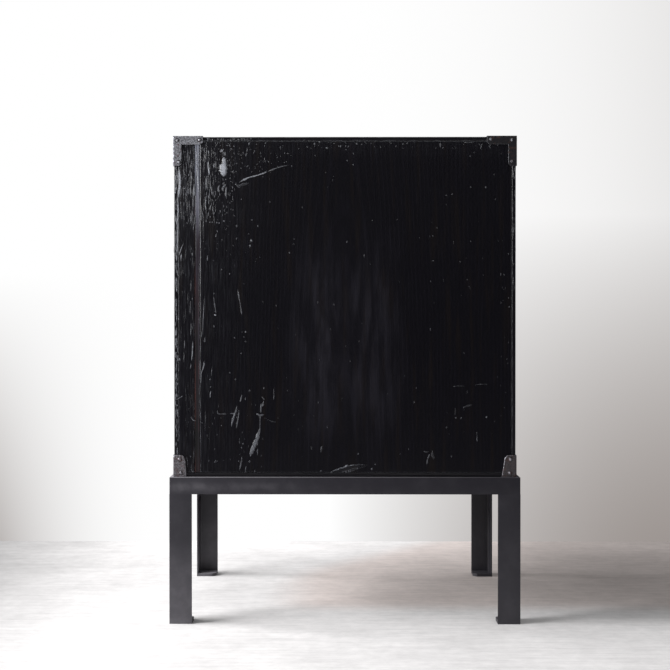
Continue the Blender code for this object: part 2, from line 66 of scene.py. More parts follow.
def addNode(tree, kind, inputs=None, node=None, **settings):
    # adds a node, or takes the one given; inputs maps a socket's name, or its number among those in use, to a
    # value, a hex colour, a socket, or a node whose first output in use is meant, and a tuple of names to a
    # row of values
    node = node or tree.nodes.new("ShaderNode" + kind)
    for field, value in settings.items():
        setattr(node, field, value)
    inUse = [socket for socket in node.inputs if socket.enabled]
    pairs = []
    for key, value in (inputs or {}).items():
        pairs += zip(key, value) if isinstance(key, tuple) else [(key, value)]
    for key, value in pairs:
        socket = inUse[key] if isinstance(key, int) else next(s for s in inUse if s.name == key)
        if isinstance(value, str):
            value = linearColour(value)
        if isinstance(value, bpy.types.Node):
            value = next(output for output in value.outputs if output.enabled)
        if isinstance(value, bpy.types.NodeSocket):
            tree.links.new(value, socket)
        else:
            socket.default_value = value
    return node


# a range's values, as the rows below give them, where a short row leaves the range to run from 0 or to 1;
# the settings of a range that eases in and out, and of a mix of colours
span = ("From Min", "From Max", "To Min", "To Max")
eased = {"interpolation_type": "SMOOTHSTEP"}
colours = {"data_type": "RGBA"}


def newMaterial(name):
    # a material, its nodes and its shader, and the place in metres, whole and by axis
    material = bpy.data.materials.new(name)
    material.use_nodes = True
    tree = material.node_tree
    place = addNode(tree, "TexCoord").outputs["Object"]
    axes = addNode(tree, "SeparateXYZ", {0: place}).outputs
    return material, tree, tree.nodes["Principled BSDF"], place, axes


def grainPlace(tree, axes, run):
    # metres across and along the grain, which runs along one axis. Across is a sum of two axes, of which each
    # board face holds one still, so that one pattern serves the back and the sides, or the fronts and the top
    first, second = (axis for axis in "XYZ" if axis != run)
    return addNode(tree, "Math", {0: axes[first], 1: axes[second]}, operation="ADD"), axes[run]


def stretchedNoise(tree, across, along, acrossSize, alongSize, seed, detail=2.0, rough=0.5):
    # noise whose lumps are acrossSize by alongSize metres
    u = addNode(tree, "Math", {0: across, 1: 1 / acrossSize}, operation="MULTIPLY")
    v = addNode(tree, "Math", {0: along, 1: 1 / alongSize}, operation="MULTIPLY")
    at = addNode(tree, "CombineXYZ", {"X": u, "Y": v, "Z": seed})
    return addNode(tree, "TexNoise", {"Vector": at, "Scale": 1.0, "Detail": detail, "Roughness": rough})


def growthRings(tree, across, along, look, warp):
    # ridges of a board sawn flat through the log: sine of the distance from the pith, which the board
    # leaves at a slope, so that the lines close into tall arches
    lean = addNode(tree, "Math", {0: along, 1: look["pithHeight"]}, operation="SUBTRACT")
    depth = addNode(tree, "Math", {0: lean, 1: look["pithSlope"]}, operation="MULTIPLY")
    side = addNode(tree, "Math", {0: across, 1: look["pithAcross"]}, operation="SUBTRACT")
    flat = addNode(tree, "CombineXYZ", {"X": side, "Y": depth, "Z": look["pithDepth"]})
    distance = addNode(tree, "VectorMath", {0: flat}, operation="LENGTH").outputs["Value"]
    wander = addNode(tree, "Math", {0: warp, 1: look["ringWander"], 2: distance}, operation="MULTIPLY_ADD")
    phase = addNode(tree, "Math", {0: wander, 1: 2 * math.pi / look["ringSpacing"]}, operation="MULTIPLY")
    wave = addNode(tree, "Math", {0: phase}, operation="SINE")
    return addNode(tree, "MapRange", {"Value": wave, "From Min": 0.1, "From Max": 1.0}, **eased)


def edgeWear(tree, radius, least=0.99, most=0.86):
    # 1 where a rounded normal leaves the flat one, near an edge; also gives both normals
    rounded = addNode(tree, "Bevel", {"Radius": radius}, samples=6)
    flat = addNode(tree, "NewGeometry").outputs["True Normal"]
    facing = addNode(tree, "VectorMath", {0: rounded, 1: flat}, operation="DOT_PRODUCT").outputs["Value"]
    edge = addNode(tree, "MapRange", {"Value": facing, span: (least, most)}, **eased)
    return edge, rounded, flat


# Lacquer

lacquerLook = {
    "black": "#08070d",         # lamp-black urushi, rubbed down by age
    "bloom": "#1a1822",         # the grey-blue haze where the coat has gone matt; on the back also a painted broad reflection
    "umber": "#120d0c",         # wood that shows through where the coat is thin
    "bare": "#b2b6c0",          # dusty ground where the coat is gone
    "inside": "#988970",        # planed wood on a drawer front's back, never lacquered
    "roughness": (0.0, 1.0, 0.33, 0.5),   # from clear to hazed
    "bareRoughness": 0.72, "shine": 0.5,
    "ringSpacing": 6.2 * mm,    # growth rings of the flat-sawn board
    "ringWander": 14 * mm, "ringLevel": 0.28,
    "pithAcross": 0.235,        # where the arches stand, across the back
    "pithHeight": -0.45, "pithSlope": 0.055, "pithDepth": 12 * mm,
    "grit": 1.6 * mm,           # what breaks the edges of a worn place
    "rubShare": 0.17,           # how far rubbing lowers the ridges' threshold
    "speckSpacing": 15 * mm, "speckRadius": 0.9 * mm, "speckLevel": 0.3,
    "speckShare": 0.35, "speckLuck": 0.9,   # rubbing and a cell's chance together have to pass the luck
    "scuffPower": 2.5,          # so that a half-bare mark looks half as bright as bare ground
    "edgeRadius": 1.6 * mm, "relief": 0.12 * mm, "ringRelief": 0.5, "bareRelief": -0.5,
    # noises along the grain: a lump's width and length, a seed, and for some the detail and the roughness
    "warp": (70 * mm, 320 * mm, 3.1), "clouds": (13 * mm, 95 * mm, 5.3, 3.0),
    "thinning": (12 * mm, 160 * mm, 8.9, 3.0),
    "fibres": (0.9 * mm, 70 * mm, 11.7, 3.0),         # drawn a little wider than real fibres, to show at all
    "ridges": (0.6 * mm, 14 * mm, 21.3, 4.0, 0.62),   # lines rubbed bare on the raised grain
    "lines": (0.7 * mm, 50 * mm, 15.1, 4.0, 0.65),    # and longer ones that are only greyed
    # masks over a field: its values where the mask begins and ends, and the mask's values there
    "rubbed": (0.35, 0.75), "hazed": (0.45, 0.7, 0.0, 0.4), "cloudy": (0.36, 0.7, 0.2),
    "streaked": (0.3, 0.7, 0.45), "thin": (0.5, 0.72, 0.0, 0.75), "gritty": (0.36, 0.58, 0.3),
    "bared": (0.76, 0.86, 0.0, 0.8), "greyed": (0.5, 0.7, 0.0, 0.11), "broken": (0.46, 0.6),
    # and masks on the back, along the axis that comes first
    "backMasks": {
        # the back's rubbing grows towards +X and the top, where it also paints a highlight on the window's
        # side
        "wornSide": ("X", 0.11, 0.30), "wornHeight": ("Z", 0.42, 0.86, 0.42),
        "wornTop": ("Z", 0.815, 0.858, 0.0, 0.4),
        # where the back's haze lies, which is also a painted broad reflection across its middle
        "hazeRight": ("X", -0.125, -0.045), "hazeLeft": ("X", 0.125, 0.045),
        "hazeTop": ("Z", 0.75, 0.54), "hazeFoot": ("Z", 0.30, 0.41, 0.12),
    },
    "parted": (0.0, 28 * mm, 0.4),         # the haze, on the back also a painted broad reflection, is thinner down its middle
    "backShine": (0.3, 0.85, 0.26, 0.7),   # by height
}


def blackLacquer(name, run, wear, back=False, bareInside=False, edges=0.55):
    # Urushi, wiped thin over a planed board of soft wood: black and half glossy, with the grain's ridges
    # telegraphing through, rubbed grey on ridges and edges, as far as wear and edges say. On the back the
    # rubbing also holds a painted highlight, and the haze a painted broad reflection
    look = lacquerLook
    material, tree, shader, place, axes = newMaterial(name)
    across, along = grainPlace(tree, axes, run)
    warp, clouds, thinning, fibres, ridges, lines = (
        stretchedNoise(tree, across, along, *look[key])
        for key in ("warp", "clouds", "thinning", "fibres", "ridges", "lines"))
    rings = growthRings(tree, across, along, look, warp)

    if back:
        # the back: rubbed bare towards +X and the top, the rubbing also a painted highlight on the window's
        # side;
        # hazed in the middle, the haze also a painted broad reflection; duller towards the foot
        masks = {key: addNode(tree, "MapRange", {"Value": axes[axis], span: ends}, **eased)
                 for key, (axis, *ends) in look["backMasks"].items()}
        # on the back the rubbing also stands for a painted highlight, stronger towards +X and the top
        rubbed = addNode(tree, "Math", {0: masks["wornSide"], 1: masks["wornHeight"]}, operation="MULTIPLY")
        rubbed = addNode(tree, "Math", {0: rubbed, 1: masks["wornTop"]}, operation="MAXIMUM")
        hazeAndSheen = addNode(tree, "Math", {0: axes["X"]}, operation="ABSOLUTE")
        hazeAndSheen = addNode(tree, "MapRange", {"Value": hazeAndSheen, span: look["parted"]}, **eased)
        for key in ("hazeRight", "hazeLeft", "hazeTop", "hazeFoot"):
            hazeAndSheen = addNode(tree, "Math", {0: hazeAndSheen, 1: masks[key]}, operation="MULTIPLY")
        shine = addNode(tree, "MapRange", {"Value": axes["Z"], span: look["backShine"]})
    else:
        ends = (*look["rubbed"], wear / 2, wear)
        rubbed = addNode(tree, "MapRange", {"Value": clouds, span: ends}, **eased)
        hazeAndSheen = addNode(tree, "MapRange", {"Value": warp, span: look["hazed"]}, **eased)
        shine = look["shine"]

    # haze, which on the back is also a painted broad reflection, and rings in upright clouds, streaked by the
    # fibres
    cloudy = addNode(tree, "MapRange", {"Value": clouds, span: look["cloudy"]}, **eased)
    streaked = addNode(tree, "MapRange", {"Value": fibres, span: look["streaked"]})
    ringed = addNode(tree, "Math", {0: rings, 1: look["ringLevel"]}, operation="MULTIPLY")
    for factor in (cloudy, streaked):
        hazeAndSheen = addNode(tree, "Math", {0: hazeAndSheen, 1: factor}, operation="MULTIPLY")
        ringed = addNode(tree, "Math", {0: ringed, 1: factor}, operation="MULTIPLY")
    thin = addNode(tree, "MapRange", {"Value": thinning, span: look["thin"]}, **eased)
    coat = look["black"]
    for factor, hue in ((thin, "umber"), (hazeAndSheen, "bloom"), (ringed, "bloom")):
        coat = addNode(tree, "Mix", {"Factor": factor, "A": coat, "B": look[hue]}, **colours)

    # ridges greyed, and fewer of them rubbed bare: stretched noise whose threshold falls as the rubbing grows
    grit = addNode(tree, "TexNoise", {"Vector": place, "Scale": 1 / look["grit"], "Detail": 3.0,
                                      "Roughness": 0.6})
    grit = addNode(tree, "MapRange", {"Value": grit, span: look["gritty"]}, **eased)
    bared = addNode(tree, "Math", {0: rubbed, 1: look["rubShare"], 2: ridges}, operation="MULTIPLY_ADD")
    bared = addNode(tree, "MapRange", {"Value": bared, span: look["bared"]}, **eased)
    bared = addNode(tree, "Math", {0: bared, 1: grit}, operation="MULTIPLY")
    greyed = addNode(tree, "MapRange", {"Value": lines, span: look["greyed"]}, **eased)
    greyed = addNode(tree, "Math", {0: greyed, 1: rubbed}, operation="MULTIPLY")

    # specks: a few of the cells of a scattered pattern hold a dot
    cells = addNode(tree, "TexVoronoi", {"Vector": place, "Scale": 1 / look["speckSpacing"]}).outputs
    reach = look["speckRadius"] / look["speckSpacing"]
    dot = addNode(tree, "MapRange", {"Value": cells["Distance"], span: (reach, 0.4 * reach)}, **eased)
    chance = addNode(tree, "SeparateXYZ", {0: cells["Color"]}).outputs
    chosen = addNode(tree, "Math", {0: rubbed, 1: look["speckShare"], 2: chance["X"]},
                     operation="MULTIPLY_ADD")
    chosen = addNode(tree, "Math", {0: chosen, 1: look["speckLuck"]}, operation="GREATER_THAN")
    for factor in (chosen, chance["Y"], look["speckLevel"]):
        dot = addNode(tree, "Math", {0: dot, 1: factor}, operation="MULTIPLY")

    # edges rubbed through: where a rounded normal leaves the flat one, broken up by the ridges
    edge, rounded, flat = edgeWear(tree, look["edgeRadius"])
    broken = addNode(tree, "MapRange", {"Value": ridges, span: look["broken"]}, **eased)
    for factor in (broken, edges):
        edge = addNode(tree, "Math", {0: edge, 1: factor}, operation="MULTIPLY")

    # marks that have meshes of their own
    scuff = addNode(tree, "Attribute", attribute_name="scuff").outputs["Fac"]
    scuff = addNode(tree, "Math", {0: scuff, 1: look["scuffPower"]}, operation="POWER")
    scuff = addNode(tree, "Math", {0: scuff, 1: grit}, operation="MULTIPLY")
    bare = bared
    for other in (greyed, dot, edge, scuff):
        bare = addNode(tree, "Math", {0: bare, 1: other}, operation="MAXIMUM")
    colour = addNode(tree, "Mix", {"Factor": bare, "A": coat, "B": look["bare"]}, **colours)
    if bareInside:
        behind = addNode(tree, "SeparateXYZ", {0: flat}).outputs["Y"]
        behind = addNode(tree, "Math", {0: behind, 1: 0.5}, operation="GREATER_THAN")
        wood = addNode(tree, "VectorMath", {0: linearColour(look["inside"])[:3], "Scale": streaked},
                       operation="SCALE")
        colour = addNode(tree, "Mix", {"Factor": behind, "A": colour, "B": wood}, **colours)
        bare = addNode(tree, "Math", {0: bare, 1: behind}, operation="MAXIMUM")
    gloss = addNode(tree, "MapRange", {"Value": hazeAndSheen, span: look["roughness"]})
    gloss = addNode(tree, "Mix", {"Factor": bare, "A": gloss, "B": look["bareRoughness"]}, data_type="FLOAT")

    height = fibres
    for field, key in ((rings, "ringRelief"), (bare, "bareRelief")):
        height = addNode(tree, "Math", {0: field, 1: look[key], 2: height}, operation="MULTIPLY_ADD")
    bump = addNode(tree, "Bump", {"Height": height, "Distance": look["relief"], "Normal": rounded})
    addNode(tree, "", {"Base Color": colour, "Roughness": gloss, "Specular IOR Level": shine, "Normal": bump},
            node=shader)
    return material


# Bare wood

bareWoodLook = {
    "early": "#a4957c", "late": "#80705a", "relief": 0.08 * mm,
    "ringSpacing": 9.0 * mm, "ringWander": 34 * mm, "pithAcross": 0.05, "pithHeight": -0.2, "pithSlope": 0.09,
    "pithDepth": 26 * mm,
    # noises and masks, as the lacquer's
    "warp": (60 * mm, 300 * mm, 2.2), "pores": (0.8 * mm, 14 * mm, 9.4, 3.0),
    "stain": (90 * mm, 160 * mm, 14.0, 4.0),
    "shade": (0.3, 0.8, 1.08, 0.72), "roughness": (0.0, 1.0, 0.56, 0.72),
    "ringShare": 0.6, "poreShare": 0.5,
    "facing": "#08080a", "facingRoughness": 0.38,   # the lacquer on a shelf's front edge
}


def planedPaulownia(name, run, faced=False):
    # Paulownia, hand-planed and left bare: a pale brown with soft rings and open pores, quite matt.
    # A faced shelf is lacquered black on its front edge
    look = bareWoodLook
    material, tree, shader, _, axes = newMaterial(name)
    across, along = grainPlace(tree, axes, run)
    warp, pores, stain = (stretchedNoise(tree, across, along, *look[key])
                          for key in ("warp", "pores", "stain"))
    rings = growthRings(tree, across, along, look, warp)
    porous = addNode(tree, "Math", {0: pores, 1: look["poreShare"]}, operation="MULTIPLY")
    ring = addNode(tree, "Math", {0: rings, 1: look["ringShare"], 2: porous}, operation="MULTIPLY_ADD")
    colour = addNode(tree, "Mix", {"Factor": ring, "A": look["early"], "B": look["late"]}, **colours)
    shade = addNode(tree, "MapRange", {"Value": stain, span: look["shade"]})
    colour = addNode(tree, "VectorMath", {0: colour, "Scale": shade}, operation="SCALE")
    gloss = addNode(tree, "MapRange", {"Value": pores, span: look["roughness"]})
    if faced:
        normal = addNode(tree, "NewGeometry").outputs["True Normal"]
        front = addNode(tree, "SeparateXYZ", {0: normal}).outputs["Y"]
        front = addNode(tree, "Math", {0: front, 1: -0.5}, operation="LESS_THAN")
        colour = addNode(tree, "Mix", {"Factor": front, "A": colour, "B": look["facing"]}, **colours)
        gloss = addNode(tree, "Mix", {"Factor": front, "A": gloss, "B": look["facingRoughness"]},
                        data_type="FLOAT")
    bump = addNode(tree, "Bump", {"Height": ring, "Distance": look["relief"]})
    addNode(tree, "", {"Base Color": colour, "Roughness": gloss, "Normal": bump}, node=shader)
    return material


seamLook = {
    "high": "#767985", "middle": "#252029", "low": "#0c0a0f", "brown": "#26161a", "red": "#52291f",
    "redLine": 0.2655,          # beyond it, towards the joint, the red shows
    "roughness": 0.7, "shine": 0.3, "relief": 0.2 * mm,
    # noises and masks, as the lacquer's
    "fibres": (1.3 * mm, 90 * mm, 4.4, 3.0), "hues": (2.2 * mm, 60 * mm, 9.2),
    # the top's chalky grey is partly a painted reflection of the light, and the mask across the strip is
    # painted light and shade
    "middling": (0.36, 0.66), "chalkyAndSheen": (0.66, 0.83), "browned": (0.5, 0.7), "patchy": (0.35, 0.6, 0.0, 0.8),
    "paintedLight": (0.2664, 0.2571, 0.45, 1.6), "streaked": (0.34, 0.66, 0.3, 1.75),
}


def dustyLitStrip(name):
    # A strip of old wood in the joint of the back, its stain worn off: chalky grey at the top, partly a
    # painted reflection of the light, purple-brown below, with painted light and shade across it that makes
    # it lighter towards the middle of the back
    look = seamLook
    material, tree, shader, _, axes = newMaterial(name)
    across, along = grainPlace(tree, axes, "Z")
    fibres, hues = (stretchedNoise(tree, across, along, *look[key]) for key in ("fibres", "hues"))
    # the grey at the top: chalk, and a painted reflection of the light
    middling, chalkyAndSheen = (addNode(tree, "MapRange", {"Value": along, span: look[key]}, **eased)
                        for key in ("middling", "chalkyAndSheen"))
    browned = addNode(tree, "MapRange", {"Value": hues, span: look["browned"]}, **eased)
    patchy = addNode(tree, "MapRange", {"Value": hues, span: look["patchy"]})
    # painted light and shade across the strip, lighter towards the middle of the back
    paintedLight = addNode(tree, "MapRange", {"Value": axes["X"], span: look["paintedLight"]})
    streaked = addNode(tree, "MapRange", {"Value": fibres, span: look["streaked"]})
    reddened = addNode(tree, "Math", {0: axes["X"], 1: look["redLine"]}, operation="GREATER_THAN")
    reddened = addNode(tree, "Math", {0: reddened, 1: patchy}, operation="MULTIPLY")
    colour = look["low"]
    for part, hue in ((middling, "middle"), (browned, "brown")):
        colour = addNode(tree, "Mix", {"Factor": part, "A": colour, "B": look[hue]}, **colours)
    colour = addNode(tree, "VectorMath", {0: colour, "Scale": paintedLight}, operation="SCALE")
    for part, hue in ((reddened, "red"), (chalkyAndSheen, "high")):
        colour = addNode(tree, "Mix", {"Factor": part, "A": colour, "B": look[hue]}, **colours)
    colour = addNode(tree, "VectorMath", {0: colour, "Scale": streaked}, operation="SCALE")
    scuff = addNode(tree, "Attribute", attribute_name="scuff").outputs["Fac"]
    colour = addNode(tree, "Mix", {"Factor": scuff, "A": colour, "B": lacquerLook["bare"]}, **colours)
    bump = addNode(tree, "Bump", {"Height": fibres, "Distance": look["relief"]})
    addNode(tree, "", {"Base Color": colour, "Roughness": look["roughness"],
                       "Specular IOR Level": look["shine"], "Normal": bump}, node=shader)
    return material


# Iron and paint

ironLook = {
    "patina": "#1f1e22", "worn": "#b3b5bd", "wornBrown": "#8e828c", "rust": "#3c2b26",
    "roughness": 0.5, "wornRoughness": 0.45, "metallic": (0.0, 1.0, 0.2, 0.55),
    "mottle": 2.6 * mm, "pit": 1.9 * mm, "rustSize": 6 * mm, "edgeRadius": 0.9 * mm, "edgeWear": 0.25,
    "relief": 0.2 * mm, "pitRelief": 0.6,
    # masks, as the lacquer's
    "grain": (0.36, 0.66, -1.05, 1.05), "hollow": (0.12, 0.42, 0.1), "rusty": (0.5, 0.72),
    # near the floor: browner, and more of its edges rubbed bright, which is a painted highlight as well
    "dampHeight": 0.3, "dampRust": 0.28, "dampEdge": 0.5, "dampRadius": 0.7 * mm,
}


def wroughtIron(name, leastWear=0.0):
    # Forged sheet and rod, blackened by baking on oil and worn since: a grey metal that shows through a dark
    # skin in mottles and pits and along the edges, as much as leastWear and the piece's wear attribute say.
    # The wear attribute and the bright edges hold a painted highlight as well as wear
    look = ironLook
    material, tree, shader, place, axes = newMaterial(name)
    # the wear attribute holds wear and, on the back's irons, a painted highlight
    wear = addNode(tree, "Attribute", attribute_name="wear").outputs["Fac"]
    mottle = addNode(tree, "TexNoise", {"Vector": place, "Scale": 1 / look["mottle"], "Detail": 4.0,
                                        "Roughness": 0.7})
    grain = addNode(tree, "MapRange", {"Value": mottle, span: look["grain"]})
    pits = addNode(tree, "TexVoronoi", {"Vector": place, "Scale": 1 / look["pit"]}).outputs["Distance"]
    hollow = addNode(tree, "MapRange", {"Value": pits, span: look["hollow"]}, **eased)
    damp = addNode(tree, "Math", {0: axes["Z"], 1: look["dampHeight"]}, operation="LESS_THAN")
    radius = addNode(tree, "Math", {0: damp, 1: look["dampRadius"], 2: look["edgeRadius"]},
                     operation="MULTIPLY_ADD")
    # edges brightened: wear, and a painted highlight along the rims
    edge, rounded, _ = edgeWear(tree, radius)
    edgeLevel = addNode(tree, "Math", {0: damp, 1: look["dampEdge"], 2: look["edgeWear"]},
                        operation="MULTIPLY_ADD")
    level = addNode(tree, "Math", {0: edge, 1: edgeLevel, 2: wear}, operation="MULTIPLY_ADD")
    level = addNode(tree, "Math", {0: level, 1: leastWear}, operation="ADD")
    grain = addNode(tree, "Math", {0: grain, 1: level}, operation="MULTIPLY")
    rubbed = addNode(tree, "Math", {0: level, 1: grain}, operation="ADD", use_clamp=True)
    rubbed = addNode(tree, "Math", {0: rubbed, 1: hollow}, operation="MULTIPLY")
    rusty = addNode(tree, "TexNoise", {"Vector": place, "Scale": 1 / look["rustSize"], "Detail": 3.0})
    rusty = addNode(tree, "MapRange", {"Value": rusty, span: look["rusty"]}, **eased)
    rusty = addNode(tree, "Math", {0: damp, 1: look["dampRust"], 2: rusty}, operation="MULTIPLY_ADD",
                    use_clamp=True)
    skin, metal = (addNode(tree, "Mix", {"Factor": rusty, "A": look[dry], "B": look[rusted]}, **colours)
                   for dry, rusted in (("patina", "rust"), ("worn", "wornBrown")))
    colour = addNode(tree, "Mix", {"Factor": rubbed, "A": skin, "B": metal}, **colours)
    gloss = addNode(tree, "Mix", {"Factor": rubbed, "A": look["roughness"], "B": look["wornRoughness"]},
                    data_type="FLOAT")
    metallic = addNode(tree, "MapRange", {"Value": rubbed, span: look["metallic"]})
    height = addNode(tree, "Math", {0: hollow, 1: look["pitRelief"], 2: mottle}, operation="MULTIPLY_ADD")
    bump = addNode(tree, "Bump", {"Height": height, "Distance": look["relief"], "Normal": rounded})
    addNode(tree, "", {"Base Color": colour, "Roughness": gloss, "Metallic": metallic, "Normal": bump},
            node=shader)
    return material


paintLook = {
    "colour": "#1f1d25", "dustAndSheen": "#8b888e", "roughness": (0.0, 1.0, 0.47, 0.8),
    "peel": 1.6 * mm, "cloud": 40 * mm, "relief": 0.02 * mm,
    "edgeRadius": 1.2 * mm, "edgeFacing": (0.985, 0.8),   # how far the rounded normal leaves the flat one
    "webHeight": 0.243, "weldHeight": 0.230,
    "weldReach": 4 * mm,        # within it a rail's foot is welded flush to the legs
    # masks, as the lacquer's: dust in patches and blotches and on ledges, paleness near the floor, a painted
    # highlight along the rails' webs, and light edges, rubbed and painted highlight; ledges, webs and the
    # paleness near the floor grow towards +X, a painted light from the window's side
    "patches": (0.42, 0.75, 0.0, 0.035), "blotch": (0.38, 0.62, 0.3, 1.5), "ledge": (0.4, 0.9),
    "paleLowLit": (0.15, 0.0, 0.0, 0.5), "web": (12 * mm, 0.0, 0.0, 0.095), "window": (-0.25, 0.3, 0.2),
    "webWindow": (0.02, 0.26), "edge": (0.4, 0.6, 0.0, 0.45),
}


def satinPaint(name):
    # Mild steel angle under a satin black paint: even and cool, with a faint orange peel; dust lies on what
    # faces up and clings in patches, it is paler near the floor, and the paint is rubbed light along the
    # edges.
    # Painted light is mixed in: a painted highlight along the rails' webs, on their top edge and on the
    # edges, and ledges, webs and the paleness near the floor grow lighter towards the window
    look = paintLook
    material, tree, shader, place, axes = newMaterial(name)
    peel = addNode(tree, "TexNoise", {"Vector": place, "Scale": 1 / look["peel"], "Detail": 2.0})
    cloud = addNode(tree, "TexNoise", {"Vector": place, "Scale": 1 / look["cloud"], "Detail": 5.0,
                                       "Roughness": 0.65})
    blotch = addNode(tree, "MapRange", {"Value": cloud, span: look["blotch"]})
    # painted light: lighter towards +X, the window's side
    window, webWindow = (addNode(tree, "MapRange", {"Value": axes["X"], span: look[key]})
                         for key in ("window", "webWindow"))
    edge, _, flat = edgeWear(tree, look["edgeRadius"], *look["edgeFacing"])
    # what faces up: dust, and the painted highlight of the rails' top edge
    ledge = addNode(tree, "SeparateXYZ", {0: flat}).outputs["Z"]
    ledge = addNode(tree, "MapRange", {"Value": ledge, span: look["ledge"]})
    ledge = addNode(tree, "Math", {0: ledge, 1: window}, operation="MULTIPLY")
    # paler near the floor, more so towards the window: painted light
    paleLowLit = addNode(tree, "MapRange", {"Value": axes["Z"], span: look["paleLowLit"]})
    for factor in (window, cloud):
        paleLowLit = addNode(tree, "Math", {0: paleLowLit, 1: factor}, operation="MULTIPLY")
    away = {}
    for key in ("web", "weld"):
        away[key] = addNode(tree, "Math", {0: axes["Z"], 1: look[key + "Height"]}, operation="SUBTRACT")
        away[key] = addNode(tree, "Math", {0: away[key]}, operation="ABSOLUTE")
    # a painted highlight along the rails' webs, stronger towards the window
    web = addNode(tree, "MapRange", {"Value": away["web"], span: look["web"]}, **eased)
    for factor in (webWindow, blotch):
        web = addNode(tree, "Math", {0: web, 1: factor}, operation="MULTIPLY")
    # light edges: rubbed paint, and a painted highlight
    rim = addNode(tree, "MapRange", {"Value": cloud, span: look["edge"]})
    unwelded = addNode(tree, "Math", {0: away["weld"], 1: look["weldReach"]}, operation="GREATER_THAN")
    for factor in (edge, unwelded):
        rim = addNode(tree, "Math", {0: rim, 1: factor}, operation="MULTIPLY")
    # dust, mixed with the painted highlights and the painted light above
    dustAndSheen = addNode(tree, "MapRange", {"Value": cloud, span: look["patches"]}, **eased)
    for other, operation in ((paleLowLit, "ADD"), (web, "ADD"), (ledge, "MAXIMUM"), (rim, "MAXIMUM")):
        dustAndSheen = addNode(tree, "Math", {0: dustAndSheen, 1: other}, operation=operation)
    colour = addNode(tree, "Mix", {"Factor": dustAndSheen, "A": look["colour"], "B": look["dustAndSheen"]}, **colours)
    gloss = addNode(tree, "MapRange", {"Value": dustAndSheen, span: look["roughness"]})
    bump = addNode(tree, "Bump", {"Height": peel, "Distance": look["relief"]})
    addNode(tree, "", {"Base Color": colour, "Roughness": gloss, "Normal": bump}, node=shader)
    return material


uprightLacquer = blackLacquer("black_lacquer_upright", "Z", 0.35, edges=0.3)
levelLacquer = blackLacquer("black_lacquer_level", "X", 0.4)
footLacquer = blackLacquer("black_lacquer_foot", "X", 0.2, edges=0.08)
backLacquer = blackLacquer("black_lacquer_back", "Z", 1.0, back=True)
drawerLacquer = blackLacquer("black_lacquer_drawers", "X", 0.4, bareInside=True)
deepPaulownia = planedPaulownia("planed_paulownia_deep", "Y")
widePaulownia = planedPaulownia("planed_paulownia_wide", "X")
shelfPaulownia = planedPaulownia("planed_paulownia_shelf", "X", faced=True)
seamStrip = dustyLitStrip("dusty_lit_strip")
iron = wroughtIron("wrought_iron")
plateIron = wroughtIron("wrought_iron_plates", 0.16)
standPaint = satinPaint("satin_black_paint")
print("materials made")


# Surfaces from arrays

def gridSurface(points, wrapRows=False, wrapColumns=False, keep=None, capEnds=False):
    # points[i, j] lies in row i and column j of the surface, and each quad joins four neighbours;
    # keep masks the cells, and capEnds closes the first and last row with a flat face
    rows, columns = points.shape[:2]
    number = np.arange(rows * columns).reshape(rows, columns)
    if wrapRows:
        number = np.concatenate([number, number[:1]])
    if wrapColumns:
        number = np.concatenate([number, number[:, :1]], axis=1)
    quads = np.stack([number[:-1, :-1], number[1:, :-1], number[1:, 1:], number[:-1, 1:]], axis=-1)
    quads = quads.reshape(-1, 4) if keep is None else quads[keep]
    faces = quads.tolist()
    if capEnds:
        faces += [number[0, :columns][::-1].tolist(), number[-1, :columns].tolist()]
    return points.reshape(-1, 3), faces


def makePiece(name, surfaces, body, material, replaced=(), values=None, shell=True, smooth=40):
    # joins surfaces into one mesh, merges their seams and poles and turns closed shells outwards;
    # values maps an attribute's name to one number or to a number for each point
    points = np.concatenate([surface[0] for surface in surfaces])
    starts = np.cumsum([0] + [len(surface[0]) for surface in surfaces])
    faces = [[start + corner for corner in face] for start, surface in zip(starts, surfaces)
             for face in surface[1]]
    mesh = bpy.data.meshes.new(name)
    mesh.from_pydata(points.tolist(), [], faces)
    for key, value in (values or {}).items():
        attribute = mesh.attributes.new(key, "FLOAT", "POINT")
        attribute.data.foreach_set("value", np.broadcast_to(value, len(points)).astype(np.float32))
    work = bmesh.new()
    work.from_mesh(mesh)
    bmesh.ops.remove_doubles(work, verts=work.verts, dist=1e-7)
    bmesh.ops.delete(work, geom=[v for v in work.verts if not v.link_faces], context="VERTS")
    if shell:
        bmesh.ops.recalc_face_normals(work, faces=work.faces)
    work.to_mesh(mesh)
    work.free()
    mesh.shade_smooth()
    mesh.set_sharp_from_angle(angle=math.radians(smooth))
    mesh.materials.append(material)
    piece = bpy.data.objects.new(name, mesh)
    bpy.context.scene.collection.objects.link(piece)
    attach(piece, body)
    if replaced:
        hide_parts(*replaced)
    return piece


def outwards(surface, outward):
    # the surface with its faces turned, if need be, so that they look along outward
    points, faces = surface
    quads = np.array(faces)
    a, b, c = (points[quads[:, i]] for i in range(3))
    if np.cross(b - a, c - a).sum(0) @ np.array(outward, float) < 0:
        faces = quads[:, ::-1].tolist()
    return points, faces


def softNoise(u, v, size, seed, waves=7):
    # a smooth field between about -1 and 1: the mean of cosine waves of seeded directions and phases
    random = np.random.default_rng(seed)
    turn = random.uniform(0, 2 * math.pi, (waves, 2))
    length = size * random.uniform(0.6, 1.7, waves)
    total = sum(np.cos(2 * math.pi * (u * math.cos(a) + v * math.sin(a)) / reach + phase)
                for (a, phase), reach in zip(turn, length))
    return total * 1.6 / waves


def arcPoints(centre, radius, start, end, count):
    # points on an arc, its angles in degrees
    turn = np.radians(np.linspace(start, end, count))
    return np.stack([centre[0] + radius * np.cos(turn), centre[1] + radius * np.sin(turn)], axis=-1)


def addModifier(piece, kind, **settings):
    modifier = piece.modifiers.new(kind.lower(), kind)
    for field, value in settings.items():
        setattr(modifier, field, value)
    return modifier


# Stand

